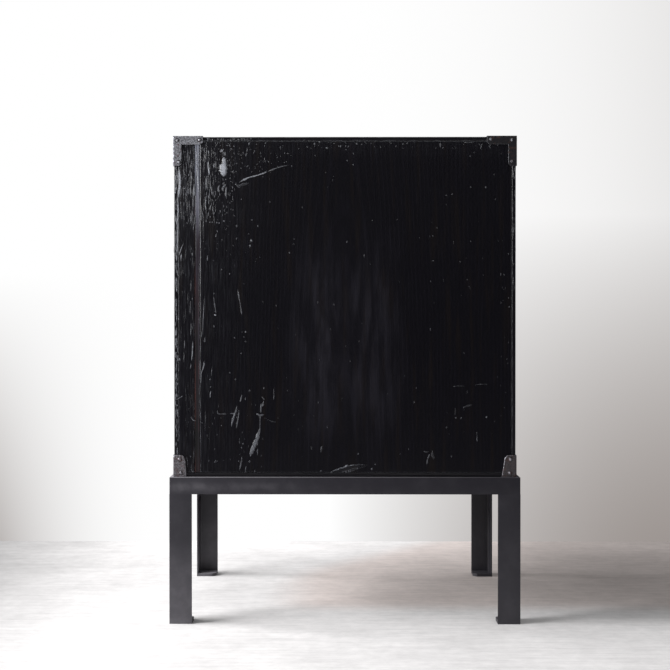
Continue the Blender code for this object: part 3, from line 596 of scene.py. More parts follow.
standMake = {
    "wall": 3 * mm, "outer": 0.7 * mm, "root": 3.5 * mm, "toe": 1.6 * mm,   # of the rolled angle
    "corner": 1.2 * mm,        # rounding of the ground-off welds at the frame's corners
    "clip": 8 * mm,            # off the foot plate's inner corner
    "plate": 6 * mm,
}


def angleSection(reach, make):
    # the outline of a rolled angle with its corner at zero: crisp outside, a fillet in the root, rounded toes
    wall, outer, root, toe = make["wall"], make["outer"], make["root"], make["toe"]
    return np.concatenate([
        arcPoints((outer, outer), outer, 180, 270, 5),
        [(reach, 0)],
        arcPoints((reach - toe, wall - toe), toe, 0, 90, 5),
        arcPoints((wall + root, wall + root), root, 270, 180, 7),
        arcPoints((wall - toe, reach - toe), toe, 0, 90, 5),
        [(0, reach)]])


def makeStandRing(make):
    # the angle's section carried round a rectangle: each corner holds it on the diagonal, and what lies
    # within the corner's rounding turns through a quarter circle there
    low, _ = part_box("stand_rail_back")
    front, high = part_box("stand_rail_front")[0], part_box("stand_rail_back")[1]
    middle = np.array([(low.x + high.x) / 2, (front.y + high.y) / 2])
    half = np.array([high.x - low.x, high.y - front.y]) / 2
    section = angleSection(high.z - low.z, make)
    inset, drop = section[:, 0], section[:, 1]
    turned = np.maximum(make["corner"] - inset, 0)
    plain = np.maximum(inset, make["corner"])
    rows = []
    for signX, signY, start, end in ((1, 1, 0, 90), (-1, 1, 90, 0), (-1, -1, 0, 90), (1, -1, 90, 0)):
        for angle in np.radians(np.linspace(start, end, 4)):
            x = middle[0] + signX * (half[0] - plain + math.cos(angle) * turned)
            y = middle[1] + signY * (half[1] - plain + math.sin(angle) * turned)
            rows.append(np.stack([x, y, high.z - drop], axis=-1))
    ring = gridSurface(np.array(rows), wrapRows=True, wrapColumns=True)
    makePiece("stand_frame", [ring], "stand", standPaint,
              replaced=[f"stand_rail_{side}" for side in ("front", "back", "left", "right")])


def makeStandLeg(name, make):
    # the angle's section drawn up from the floor to the rails, and a plate with a clipped corner in its foot
    low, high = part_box(name)
    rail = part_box("stand_rail_back")[0]
    signX, signY = np.sign(low.x + high.x), np.sign(low.y + high.y)
    corner = np.array([low.x if signX < 0 else high.x, low.y if signY < 0 else high.y])
    reach, clip = high.x - low.x, make["clip"]
    plate = np.array([(0, 0), (reach, 0), (reach, reach - clip), (reach - clip, reach), (0, reach)])
    plate = plate + make["outer"] * np.array([(1, 1), (0, 1), (0, 0), (0, 0), (1, 0)])
    solids = []
    for outline, bottom, top in ((angleSection(reach, make), 0.0, rail.z), (plate, 0.0, make["plate"])):
        ground = corner - np.array([signX, signY]) * outline
        rows = [np.column_stack([ground, np.full(len(ground), z)]) for z in (bottom, top)]
        solids.append(gridSurface(np.array(rows), wrapColumns=True, capEnds=True))
    makePiece(name.replace("stand_leg", "angle_leg"), solids, "stand", standPaint,
              replaced=[name])


makeStandRing(standMake)
for depth in ("front", "back"):
    for side in ("left", "right"):
        makeStandLeg(f"stand_leg_{depth}_{side}", standMake)
print("stand made")


# Corner irons

topIron = {
    "width": 15.3 * mm, "clip": 4 * mm, "fold": 1.1 * mm, "sheet": 1.5 * mm,
    "dent": 0.22 * mm, "dentSize": 13 * mm, "waver": 0.35 * mm, "waverSize": 17 * mm, "edge": 0.35 * mm,
    "dentFrom": 3 * mm,
    "nails": ((8.0, 7.2), (46.6, 7.0), (10.0, 46.0)),   # mm from the corner, along a leaf's two arms
}
footIron = {
    "head": 21.5 * mm, "shoulder": 9 * mm, "heel": 4.5 * mm, "fold": 1.1 * mm, "sheet": 1.5 * mm,
    "dent": 0.2 * mm, "dentSize": 11 * mm, "waver": 0.3 * mm, "waverSize": 15 * mm, "edge": 0.35 * mm,
    "dentFrom": 3 * mm, "lean": 2 * mm,
    "nails": ((10.4, 31.0), (13.0, 6.8)),               # mm from the fold, and up
}
footTrim = {"corner_iron_foot_back_right": 2.8 * mm}    # one tongue on the back is narrower than its fellow
ironWearAndLight = {   # how far an iron is rubbed bright; on the back it also paints the highlight of the irons towards the window
    "corner_iron_top_back_right": 0.61, "corner_iron_top_back_left": 0.0,
    "corner_iron_foot_back_right": 0.25, "corner_iron_foot_back_left": 0.07,
    "corner_iron_top_front_left": 0.2, "corner_iron_top_front_right": 0.16,
    "corner_iron_foot_front_left": 0.22, "corner_iron_foot_front_right": 0.2,
}


def ironCorner(name):
    # an iron's box, the signs of the chest's corner that it wraps, and that corner's place
    low, high = (np.array(end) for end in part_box(name))
    signs = np.array([np.sign(low[0]), np.sign(low[1]), 1 if "_top_" in name else -1])
    return low, high, signs, np.where(signs > 0, high, low)


def folded(inset, radius):
    # points inset from three outer planes, with the folds between the planes, and their corner, rounded
    core = np.maximum(inset, radius)
    out = inset - core
    return core + radius * out / np.linalg.norm(out, axis=-1, keepdims=True)


def placeIron(name, leaves, corner, signs, make):
    # the leaves' insets from the corner turned to places; the sheet gets its thickness inwards
    surfaces = [outwards((corner - signs * folded(points, make["fold"]), faces), signs)
                for points, faces in leaves]
    piece = makePiece(name.replace("corner_iron", "iron"), surfaces, "chest", iron,
                      replaced=[name], values={"wear": ironWearAndLight[name]}, shell=False)
    addModifier(piece, "SOLIDIFY", thickness=make["sheet"], offset=-1.0, use_even_offset=True)
    addModifier(piece, "BEVEL", width=make["edge"], segments=2, limit_method="ANGLE",
                angle_limit=math.radians(55))


def makeTopIron(name, make, seed):
    # three L-shaped leaves; a leaf is a square grid without the cells past both arms, its ends clipped
    low, high, signs, corner = ironCorner(name)
    arm, width, clip = high[0] - low[0], make["width"], make["clip"]
    steps = np.concatenate([np.linspace(0, make["fold"], 4), np.linspace(make["fold"], width, 9)[1:],
                            np.linspace(width, arm, 17)[1:]])
    a, b = np.meshgrid(steps, steps, indexing="ij")
    cell = np.minimum(a[:-1, :-1], b[:-1, :-1]) < width - make["fold"] / 10
    leaves = []
    for number, planes in enumerate(((0, 1), (0, 2), (1, 2))):
        reach = []
        for run, beside in ((a, b), (b, a)):
            end = arm - np.clip(beside - (width - clip), 0, clip)
            run = np.where(run > width, width + (run - width) * (end - width) / (arm - width), run)
            reach.append(run)
        first, second = reach
        rim = np.abs(softNoise(first, second, make["waverSize"], seed + number)) * make["waver"]
        first = first - np.where((a <= width) & (a > make["fold"]), (a / width) ** 2 * rim, 0)
        second = second - np.where((b <= width) & (b > make["fold"]), (b / width) ** 2 * rim, 0)
        inset = np.zeros(a.shape + (3,))
        inset[..., planes[0]], inset[..., planes[1]] = first, second
        dent = (0.5 + 0.5 * softNoise(a, b, make["dentSize"], seed + 7 + number)) * make["dent"]
        inset[..., 3 - planes[0] - planes[1]] = dent * np.clip(np.minimum(a, b) / make["dentFrom"], 0, 1)
        leaves.append(gridSurface(inset, keep=cell))
    placeIron(name, leaves, corner, signs, make)


def makeFootIron(name, make, seed):
    # two tongues that share the fold: across, each runs from the fold to an inner edge that leans in and
    # then turns over the head in a quarter circle; above the heel the tongues part
    low, high, signs, corner = ironCorner(name)
    tall, shoulder, heel = high[2] - low[2], make["shoulder"], make["heel"]
    neck = tall - shoulder
    bend = np.sin(np.linspace(0, math.pi / 2, 11))[1:]
    climb = np.concatenate([np.linspace(0, neck, 14), neck + shoulder * bend])
    across = np.concatenate([np.linspace(0, 0.05, 4), np.linspace(0.05, 1, 13)[1:]])
    share, up = np.meshgrid(across, climb, indexing="ij")
    leaves = []
    for axis in (0, 1):
        base = high[axis] - low[axis] - (footTrim.get(name, 0.0) if axis == 0 else 0.0)
        head = min(make["head"], base - make["lean"])
        edge = base + (head - base) * np.clip(up / neck, 0, 1)
        over = np.sqrt(np.maximum(shoulder ** 2 - np.maximum(up - neck, 0) ** 2, 0))
        edge = np.where(up > neck, head - shoulder + over, edge)
        part = heel - np.sqrt(np.maximum(heel ** 2 - np.maximum(up - (tall - heel), 0) ** 2, 0))
        run = part + share * (edge - part)
        rim = np.abs(softNoise(run, up, make["waverSize"], seed + axis)) * make["waver"]
        run = run - share ** 2 * rim
        inset = np.zeros(run.shape + (3,))
        inset[..., axis] = run
        inset[..., 2] = up + make["fold"]      # past the fold's reach, since no leaf lies under the chest
        dent = (0.5 + 0.5 * softNoise(run, up, make["dentSize"], seed + 5 + axis)) * make["dent"]
        inset[..., 1 - axis] = dent * np.clip(run / make["dentFrom"], 0, 1)
        leaves.append(gridSurface(inset))
    corner[2] -= make["fold"]
    placeIron(name, leaves, corner, signs, make)


for number, name in enumerate(sorted(ironWearAndLight)):
    if "_top_" in name:
        makeTopIron(name, topIron, 40 + 9 * number)
    else:
        makeFootIron(name, footIron, 40 + 9 * number)
print("corner irons made")


# Nails

nailMake = {
    # the collar is a dark ring of grease and painted shadow round a head
    "radius": 2.3 * mm, "height": 1.2 * mm, "collar": 4.3 * mm, "collarHeight": 0.14 * mm,
    "sides": 12, "rings": 5, "sunk": 0.4 * mm, "uneven": 0.08, "size": 0.95,
    "seat": 0.6,                                # how deep in the sheet's dents a head sits
    "astray": (1.0, 0.8),                       # mm at most from its marked place
    "slimLeaf": 22 * mm, "slimShare": 0.7,      # a slim leaf's nails are nearer to the fold
    "wear": 0.6, "ironShare": 0.9,              # a head's own wear and painted highlight, and what it has of the iron's
}
plateNail = {
    **nailMake, "radius": 1.7 * mm, "height": 0.8 * mm, "collar": 2.3 * mm, "collarHeight": 0.1 * mm,
    "size": 1.0, "astray": 0.5,
}
plateNails = {   # mm from a plate's middle: along it, and up
    "drawer": ((-49, 9), (49, 9), (-49, -9), (49, -9), (0, 10.5), (0, -10.5)),
    "side": ((-70, 14), (70, 14), (-70, -14), (70, -14), (0, 17), (0, -17)),
    "lock": tuple((28.5 * math.sin(turn), 28.5 * math.cos(turn)) for turn in np.radians(range(30, 390, 60))),
}
plateSheet = {"drawer": 1.5 * mm, "side": 2.0 * mm, "lock": 1.5 * mm}   # a plate's thickness off its posts


def nailHead(centre, outward, make, seed):
    # a flattened dome, sine and cosine of the polar angle for its width and height, on a thin collar of black
    # grease and painted shadow; gives each point's share of the head's own wear and painted highlight too,
    # most at the top, below zero on the collar, which nothing rubs bright
    random = np.random.default_rng(seed)
    outward = np.array(outward, float)
    side = np.array([outward[1], outward[2], outward[0]])
    other = np.cross(outward, side)
    polar = np.linspace(0, math.pi / 2, make["rings"])
    low = make["collarHeight"]
    radius = np.concatenate([np.sin(polar) * make["radius"], [make["radius"]], [make["collar"]] * 2])
    rise = np.concatenate([np.cos(polar) * (make["height"] - low) + low, [low, low, -make["sunk"]]])
    turn = np.linspace(0, 2 * math.pi, make["sides"], endpoint=False)
    uneven = 1 + make["uneven"] * np.cos(2 * turn + random.uniform(0, 6))
    rim = (radius[:, None] * uneven * make["size"])[..., None]
    rows = rim * (np.cos(turn)[:, None] * side + np.sin(turn)[:, None] * other)
    rows = rows + (rise * make["size"])[:, None, None] * outward
    share = np.repeat(np.concatenate([np.linspace(1.0, 0.75, make["rings"]), [-1, -1, -1]]), make["sides"])
    return gridSurface(np.array(centre) + rows, wrapColumns=True, capEnds=True), share


def makeIronNails(name, make, seed):
    # nails through every leaf of one iron, each a little off its marked place
    low, high, signs, corner = ironCorner(name)
    random = np.random.default_rng(seed)
    top = "_top_" in name
    sheet = topIron if top else footIron
    heads = []
    for planes in (((0, 1), (0, 2), (1, 2)) if top else ((0, 2), (1, 2))):
        slim = not top and high[planes[0]] - low[planes[0]] < make["slimLeaf"]
        for place in sheet["nails"]:
            inset = np.full(3, sheet["dent"] * make["seat"])
            scales = (make["slimShare"] if slim else 1.0, 1.0)
            for axis, distance, scale, astray in zip(planes, place, scales, make["astray"]):
                inset[axis] = (distance * scale + random.uniform(-astray, astray)) * mm
            outward = signs * np.array([axis not in planes for axis in range(3)])
            heads.append(nailHead(corner - signs * inset, outward, make, int(random.integers(99))))
    surfaces, shares = zip(*heads)
    if top:   # keep the heads on the top leaf inside the chest's height
        surfaces = [(np.minimum(points, [np.inf, np.inf, high[2]]), faces) for points, faces in surfaces]
    # a head's brightness: its wear and painted highlight, with a share of the iron's
    wear = ironWearAndLight[name] * make["ironShare"] + make["wear"]
    makePiece(name.replace("corner_iron", "nails"), surfaces, "chest", iron,
              values={"wear": wear * np.concatenate(shares)}, smooth=50)


def makePlateNails(name, kind, body, make, seed):
    # nails on a plate's flat face, which lies a sheet's thickness out from the plate's back; the plate's box
    # also holds the posts
    low, high = (np.array(end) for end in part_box(name))
    middle, size = (low + high) / 2, high - low
    outward = np.array([np.sign(middle[0]), 0, 0] if kind == "side" else [0, -1.0, 0])
    along = np.array([0, 1.0, 0] if kind == "side" else [1.0, 0, 0])
    face = middle + outward * (plateSheet[kind] - abs(outward) @ size / 2)
    random = np.random.default_rng(seed)
    heads = []
    for x, z in plateNails[kind]:
        off = random.uniform(-make["astray"], make["astray"], 3) * (1 - abs(outward))
        place = face + (along * x + np.array([0, 0, z]) + off) * mm
        heads.append(nailHead(place, outward, make, int(random.integers(99))))
    surfaces, shares = zip(*heads)
    makePiece(name.replace("plate", "nails"), surfaces, body, iron,
              values={"wear": make["wear"] * np.concatenate(shares)}, smooth=50)


for number, name in enumerate(sorted(ironWearAndLight)):
    makeIronNails(name, nailMake, 200 + number)
for number, name in enumerate(name for name in sorted(nodes) if "plate" in name):
    kind, which = name.split("_")[:2]
    body = {"side": "chest", "lock": "drawer_top", "drawer": "drawer_" + which}[kind]
    makePlateNails(name, kind, body, plateNail, 300 + number)
print("nails made")


# Bails

bailMake = {
    "sides": 16, "arcSteps": 9, "runSteps": 8, "wear": 0.25,
    "swell": 0.16, "fullness": 0.7, "uneven": 0.02, "lump": 14 * mm,
}
bails = {
    "drawer": {"span": 88 * mm, "post": 5.2 * mm, "stub": 1.5 * mm, "play": 1 * mm, "eye": 5 * mm,
               "drop": 38 * mm, "bend": 12 * mm, "rod": 2.5 * mm},
    "side": {"span": 118 * mm, "post": 8 * mm, "stub": 2 * mm, "play": 1 * mm, "eye": 8 * mm,
             "drop": 60 * mm, "bend": 18 * mm, "rod": 4 * mm},
}


def roundedPath(corners, radii, make):
    # a line through corners whose bends are arcs of the given radii, with even steps on its straight runs
    pieces, last = [], np.array(corners[0], float)
    for before, corner, after, radius in zip(corners, corners[1:], corners[2:], radii):
        before, corner, after = (np.array(p, float) for p in (before, corner, after))
        back, ahead = before - corner, after - corner
        back, ahead = back / np.linalg.norm(back), ahead / np.linalg.norm(ahead)
        half = math.acos(np.clip(back @ ahead, -1, 1)) / 2
        start, end = corner + back * radius / math.tan(half), corner + ahead * radius / math.tan(half)
        centre = corner + (back + ahead) / np.linalg.norm(back + ahead) * radius / math.sin(half)
        share = np.linspace(0, 1, make["runSteps"], endpoint=False)[:, None]
        pieces.append(last + (start - last) * share)
        turn = np.linspace(0, math.pi - 2 * half, make["arcSteps"], endpoint=False)[:, None]
        across = (end - centre) - ((end - centre) @ (start - centre)) / radius ** 2 * (start - centre)
        across = across / np.linalg.norm(across) * radius
        pieces.append(centre + np.cos(turn) * (start - centre) + np.sin(turn) * across)
        last = end
    share = np.linspace(0, 1, make["runSteps"])[:, None]
    pieces.append(last + (np.array(corners[-1], float) - last) * share)
    return np.concatenate(pieces)


def rodSurface(path, radii, flat, sides):
    # a round section carried along a path that lies in one plane, whose normal is flat; the ends round over
    ahead = np.gradient(path, axis=0)
    ahead = ahead / np.linalg.norm(ahead, axis=1, keepdims=True)
    beside = np.cross(flat, ahead)
    turn = np.linspace(0, 2 * math.pi, sides, endpoint=False)
    ring = np.cos(turn)[None, :, None] * beside[:, None] + np.sin(turn)[None, :, None] * np.array(flat, float)
    rows = path[:, None] + ring * radii[:, None, None]
    ends = [np.repeat(path[i][None, None], sides, axis=1) for i in (0, -1)]
    return gridSurface(np.concatenate([ends[0], rows, ends[1]]), wrapColumns=True)


def makeBail(name, pivot):
    # the rod bent as forged: pins turned in, round eyes, straight sides and a grip that swells at its middle
    sideways = name.startswith("side")
    sizes = bails["side" if sideways else "drawer"]
    pin = sizes["span"] / 2 - sizes["post"] - sizes["stub"]
    side = sizes["span"] / 2 + sizes["post"] + sizes["play"] + sizes["eye"]
    corners = [(-pin, 0), (-side, 0), (-side, -sizes["drop"]), (side, -sizes["drop"]), (side, 0), (pin, 0)]
    path = roundedPath(corners, (sizes["eye"], sizes["bend"], sizes["bend"], sizes["eye"]), bailMake)
    eastward, northward, upward = np.eye(3)
    along, normal = (northward, eastward) if sideways else (eastward, northward)
    places = np.array(pivot) + path[:, :1] * along + path[:, 1:] * upward
    down = np.clip(-path[:, 1] / sizes["drop"], 0, 1)
    middle = np.clip(1 - np.abs(path[:, 0]) / side, 0, 1)
    uneven = bailMake["uneven"] * softNoise(path[:, 0], path[:, 1], bailMake["lump"], 5)
    swell = 1 + bailMake["swell"] * down * middle ** bailMake["fullness"] + uneven
    rod = rodSurface(places, sizes["rod"] * swell, normal, bailMake["sides"])
    makePiece(name.replace("bail", "grip"), [rod], name, iron, replaced=[name],
              values={"wear": bailMake["wear"]}, smooth=60)


for joint in frame["joints"]:
    if "bail" in joint["child"]:
        makeBail(joint["child"], joint["pos_m"])
print("bails made")


# Scratches and scuffs on the back

# each stroke: how bare it is, then its run of x, y and half width, all in pixels of the reference view, where
# they were marked; the scale, in pixels per millimetre, and the middle are the back's in that view
markView = {"scale": 0.5635, "middle": 344.8, "level": 325.2, "levelHeight": 529.5 * mm}
backStrokes = {
    "long scratch": [
        (0.9, (239.2, 182.7, 0.2), (243, 180.2, 0.9), (246, 179, 1.3), (249, 177.4, 0.6), (252, 176.9, 1.0),
         (258, 175.2, 0.7), (264, 173.2, 1.0), (268, 171.2, 0.5)),
        (0.6, (268, 171.3, 0.4), (273, 169.6, 0.8), (278, 167.6, 0.5), (284, 166, 0.5), (289, 165.6, 0.2)),
        (0.35, (235, 184, 0.3), (238.5, 186.5, 1.3), (244, 184.5, 1.6), (249, 183, 0.5))],
    "pale patch": [
        (1.0, (224.1, 156.6, 0.8), (224.1, 158.6, 2.0), (224.1, 163, 2.9), (223.8, 168, 3.5),
         (223.5, 172, 3.5), (223.8, 175.4, 2.6), (223.8, 177.2, 0.6)),
        (0.9, (221.3, 149.0, 0.6), (221.8, 150.8, 1.9), (222.6, 152.4, 0.7)),
        (0.6, (225.5, 151.6, 0.4), (225.1, 154, 1.0), (224.2, 155.8, 0.3)),
        (0.6, (220.3, 184.4, 0.3), (218.7, 187, 0.9), (218.6, 190.6, 1.0), (219.8, 193.2, 0.5)),
        (0.55, (226.4, 183.8, 0.3), (224.4, 186, 1.0), (222.9, 188.8, 1.1), (223.6, 191.6, 0.4)),
        (0.6, (226.6, 186.6, 0.4), (226.2, 190.2, 0.9), (225.8, 194, 0.9), (226.5, 198.6, 0.3))],
    "streaks beside the strip": [
        (0.75, (208.2, 161, 0.3), (208.4, 165.5, 1.2), (208.9, 170.5, 1.5), (209.1, 175.8, 0.7)),
        (0.6, (207.2, 177, 0.3), (207, 182, 0.7), (206.8, 189.2, 0.5)),
        (0.6, (208.2, 149.6, 0.4), (208.6, 151.6, 1.1), (209, 154.6, 0.4)),
        (0.7, (214, 163.2, 0.3), (214, 165.8, 1.1), (213.8, 168.6, 0.3)),
        (0.45, (206.2, 146, 0.3), (206.4, 152, 0.5), (206.1, 160, 0.3)),
        (0.45, (204.4, 150, 0.3), (204.6, 158, 0.5), (204.2, 168, 0.3)),
        (0.6, (205.8, 195.6, 0.3), (205.6, 203, 0.9), (205.5, 210, 0.4)),
        (0.5, (211.9, 186.4, 0.3), (212.1, 191, 0.7), (211.8, 195.4, 0.4)),
        (0.5, (209.6, 192.2, 0.3), (209.5, 197.8, 0.6)),
        (0.5, (211.4, 204, 0.5), (210.4, 207, 0.6), (209.7, 210.6, 0.9)),
        (0.4, (203.4, 214, 0.3), (203.2, 228, 0.5), (203.4, 240, 0.3)),
        (0.4, (216.8, 233.2, 0.3), (216, 235.4, 0.8), (215.5, 237.4, 0.3)),
        (0.4, (207.6, 255, 0.3), (207.5, 258.6, 0.8), (207.7, 261, 0.3)),
        (0.5, (202.8, 340, 0.3), (204.9, 342.2, 0.8), (204.8, 336.8, 0.3)),
        (0.5, (201.5, 330.8, 0.3), (201.4, 334, 0.5), (201.2, 338, 0.3)),
        (0.45, (204.5, 295.6, 0.2), (203.9, 305, 0.5), (203.2, 316, 0.8), (202.8, 326, 0.5),
         (202.6, 336, 0.3)),
        (0.55, (203.4, 360.4, 0.2), (204.1, 364, 1.1), (203.2, 368, 0.9), (201.2, 373, 0.7),
         (200.7, 384, 0.4)),
        (0.4, (212.1, 366, 0.2), (211.6, 371, 0.5), (211.2, 376, 0.3)),
        (0.55, (210.9, 390.6, 0.3), (210.3, 394, 0.9), (209.7, 398.4, 0.6)),
        (0.3, (205.3, 410.8, 0.3), (205.1, 421, 0.5), (204.9, 431, 0.2))],
    "pair of hanging lines": [
        (0.6, (213.7, 296.6, 0.3), (214.3, 302, 0.5), (215.6, 311.6, 0.6), (215.8, 313.6, 0.9)),
        (0.8, (214.1, 314.8, 0.5), (215.4, 315, 1.3), (216.6, 314.6, 0.5)),
        (0.6, (237.6, 288.2, 0.2), (238.8, 295.4, 1.0), (239.4, 299, 0.8), (240.6, 306, 0.4),
         (241.4, 312, 0.8), (241.9, 315.4, 0.4))],
    "cross": [
        (0.5, (217.0, 410.2, 0.3), (217.2, 412.6, 0.8), (218.4, 414, 0.6), (221.6, 414, 0.4),
         (224.4, 414, 0.9), (226.8, 414, 0.3)),
        (0.5, (229.4, 413.9, 0.3), (232, 413.6, 0.7), (235.8, 413.4, 0.5)),
        (0.6, (241.8, 394.4, 0.3), (241.2, 398, 0.9), (239.9, 402.6, 0.6)),
        (0.6, (236.8, 405.6, 0.3), (236.2, 410, 0.9), (234.6, 415, 0.9), (232.6, 420.4, 1.2),
         (231.4, 426.8, 0.6)),
        (0.55, (238.9, 412, 0.3), (238.6, 415, 0.9), (237.8, 420, 0.7), (236.9, 425, 0.9), (236.1, 429, 0.3)),
        (0.5, (245.6, 397.4, 0.3), (245.3, 400.4, 0.7))],
    "gouge": [
        (0.5, (261.7, 396.8, 0.3), (263.4, 398.8, 0.8), (264.4, 400.2, 0.3)),
        (0.55, (263.5, 400.8, 0.3), (263.2, 404.6, 1.1), (262, 406.8, 0.5)),
        (0.55, (261.3, 403.4, 0.4), (260.9, 408.4, 1.2), (260.8, 413, 0.9)),
        (0.55, (256.2, 413.6, 0.3), (259, 415, 1.3), (262, 415.2, 1.4), (264.2, 414.2, 0.4)),
        (0.5, (260.6, 415.6, 1.0), (260, 420, 0.7), (260, 426, 0.6), (259.8, 430, 0.8)),
        (0.62, (260.2, 427.6, 0.5), (259.2, 432, 1.6), (257.2, 438, 2.5), (255, 444, 2.7), (253, 449, 2.7),
         (251.2, 453, 2.1), (250.2, 456.8, 0.4)),
        (0.4, (257.8, 448.6, 0.3), (257.5, 452, 0.8), (257.2, 456, 0.3))],
    "foot of the wide board": [
        (0.5, (241.9, 456.2, 0.3), (241.4, 462, 0.8), (240.2, 467, 0.8), (239.1, 471.4, 0.4)),
        (0.3, (246, 465.6, 0.3), (245.6, 471, 0.5), (245.2, 477, 0.3)),
        (0.25, (255, 469, 0.3), (254.8, 473.4, 0.7)),
        (0.3, (213.8, 462.6, 0.4), (216, 461.6, 1.1), (218, 461, 0.4)),
        (0.35, (273.7, 387.6, 0.2), (273.9, 394, 0.5), (273.7, 400, 0.3)),
        (0.22, (264.4, 417.6, 0.2), (268.4, 420, 0.3), (273.4, 422, 0.7), (276, 422, 0.2)),
        (0.4, (311.2, 445.8, 0.3), (311.3, 448.4, 0.9), (311.4, 450, 0.3)),
        (0.4, (322.2, 445.6, 0.3), (321.4, 449.4, 1.1), (320.6, 453, 0.5)),
        (0.34, (300, 478, 0.2), (316, 477.6, 0.35), (331, 476.6, 0.4), (339, 474.9, 0.5), (348, 472.4, 0.5),
         (358, 468.9, 0.4), (368, 465.8, 0.2)),
        (0.2, (326.4, 474, 0.4), (333, 472.8, 2.6), (342, 470.4, 3.7), (352, 467.2, 3.2), (361, 465.6, 1.6),
         (367.6, 465, 0.3))],
    "right of the wide board": [
        (0.34, (432.5, 450.4, 0.3), (432.4, 453.6, 0.9), (433.2, 457.2, 1.3), (434, 459.8, 0.8)),
        (0.34, (430.4, 453.6, 0.3), (429.1, 456.4, 1.1), (427.6, 459.4, 0.8), (427, 464.4, 0.8)),
        (0.28, (423.4, 451.4, 0.4), (426.6, 452, 0.9), (429.4, 451.6, 0.4)),
        (0.34, (462.8, 407.4, 0.3), (467.4, 406, 1.2), (472.4, 404.6, 0.3)),
        (0.22, (455.2, 407.6, 0.2), (455.2, 411, 0.6), (455, 415.4, 0.3)),
        (0.2, (477, 431.6, 0.2), (476.8, 436, 0.7), (477.2, 441.6, 0.4)),
        (0.24, (453.2, 386.4, 0.3), (458.6, 385.9, 0.5), (464.6, 386.2, 0.2)),
        (0.24, (474.6, 384.8, 0.2), (481, 384.2, 0.5), (487.8, 384.4, 0.2)),
        (0.35, (440.4, 142.8, 0.5), (440.5, 144.6, 1.1), (440.2, 147.8, 0.3)),
        (0.3, (464, 143, 0.4), (467.6, 142.6, 0.7), (469.8, 142.9, 0.4), (472.8, 142.6, 0.7),
         (474.4, 142.8, 0.2)),
        (0.32, (478.6, 143.8, 0.3), (480.2, 146, 0.5), (482.2, 143.6, 0.4), (480.9, 147.9, 0.5),
         (480.5, 150, 0.2)),
        (0.34, (488.9, 142.8, 0.3), (490.6, 145, 0.5), (489.4, 147, 0.6), (490.4, 149.2, 0.3))],
    "narrow board": [
        (0.8, (184.4, 188.5, 0.3), (185.6, 188.6, 0.8), (183, 188.4, 0.8), (182.4, 188.4, 0.2)),
        (0.6, (191.8, 170.6, 0.2), (191.7, 177, 0.6), (191.5, 184, 0.5)),
        (0.65, (190.8, 182.4, 0.2), (190.4, 189, 0.8), (190.5, 196.4, 0.4)),
        (0.8, (194.3, 182.6, 0.2), (193.9, 189.6, 0.8), (194.4, 194, 1.0), (193.6, 197, 0.4)),
        (0.6, (193.4, 196, 0.3), (193, 201, 0.7), (193.2, 208, 0.5)),
        (0.5, (192.4, 207, 0.3), (192.2, 216, 0.4), (191.9, 226, 0.3)),
        (0.6, (195.3, 214.6, 0.2), (194.3, 222.6, 0.5), (193.1, 230.6, 0.5)),
        (0.45, (187.2, 190, 0.2), (187, 206, 0.4), (187.1, 218, 0.2)),
        (0.65, (183.9, 242.8, 0.2), (181.8, 247, 0.6), (179.9, 252, 0.7), (179, 256, 0.3)),
        (0.7, (181.4, 253, 0.3), (181.1, 256.6, 0.9), (180.9, 261.4, 0.4)),
        (0.55, (178.4, 262.6, 0.3), (178.4, 265, 0.8), (178.4, 268.6, 0.3)),
        (0.6, (192.4, 252, 0.3), (192.3, 254.6, 0.9), (192.4, 256.4, 0.3)),
        (0.4, (191.1, 279.6, 0.2), (190.9, 285, 0.5), (190.8, 292, 0.3)),
        (0.45, (190.6, 300, 0.2), (190.2, 308, 0.5), (189.8, 315, 0.3)),
        (0.5, (191.2, 321.6, 0.2), (191, 329, 0.7), (190.6, 335.6, 0.4)),
        (0.7, (192.6, 340.6, 0.2), (192.6, 346, 0.7), (192.2, 354, 0.8), (191.4, 361, 0.6)),
        (0.5, (190.8, 363.6, 0.3), (190.6, 366.4, 0.9), (190.3, 369.4, 0.3)),
        (0.6, (184.6, 339.6, 0.2), (184.5, 344, 0.6), (184.2, 349, 0.3)),
        (0.4, (183.4, 352, 0.2), (183.6, 357, 0.5), (183, 363, 0.3)),
        (0.6, (175.6, 400.2, 0.3), (178.4, 398.4, 0.5), (181.4, 396.8, 0.5), (182.8, 395.2, 0.3)),
        (0.6, (190.6, 417.6, 0.4), (192.6, 420, 0.5), (194.6, 421, 0.8), (196, 420.8, 0.2)),
        (0.5, (199.8, 421.6, 0.3), (201.6, 423, 0.7), (203.6, 423.4, 0.4)),
        (0.5, (191.4, 470.8, 0.2), (192.6, 471.6, 0.9), (193.6, 476.6, 0.5)),
        (0.35, (186.4, 456, 0.2), (187.2, 461, 0.5), (187.4, 468, 0.3))],
    "lip": [
        (0.95, (179.4, 168.6, 0.4), (179.3, 172, 1.1), (179.8, 177, 1.3), (180.2, 182, 1.4),
         (179.9, 187, 1.2), (178.9, 192, 1.0), (178.5, 198.6, 0.9)),
        (0.8, (178.4, 198, 0.5), (177.9, 203, 0.9), (178.2, 209, 0.7), (178.1, 218, 0.6), (177.8, 228, 0.6),
         (177.4, 238, 0.5), (177.2, 247, 0.6), (176.9, 258, 0.3)),
        (0.5, (176.6, 166, 0.3), (176.4, 178, 0.5), (176.5, 190, 0.3))],
    "under the iron": [
        (0.5, (202.6, 141.6, 0.3), (204.4, 141.9, 1.0), (205.6, 142.4, 0.4)),
        (0.4, (206.4, 143, 0.2), (206.9, 145, 0.6)),
        (0.5, (229, 143.8, 0.3), (229.7, 145.6, 1.1), (230.6, 147.2, 0.5)),
        (0.4, (230.6, 148.2, 0.4), (232.4, 149.6, 0.8), (233.6, 150.4, 0.3)),
        (0.45, (249.8, 141.6, 0.2), (249.4, 143.4, 0.8), (248.8, 145.4, 0.4)),
        (0.5, (247.6, 147.8, 0.2), (247.3, 150.4, 0.6), (246.9, 153, 0.3)),
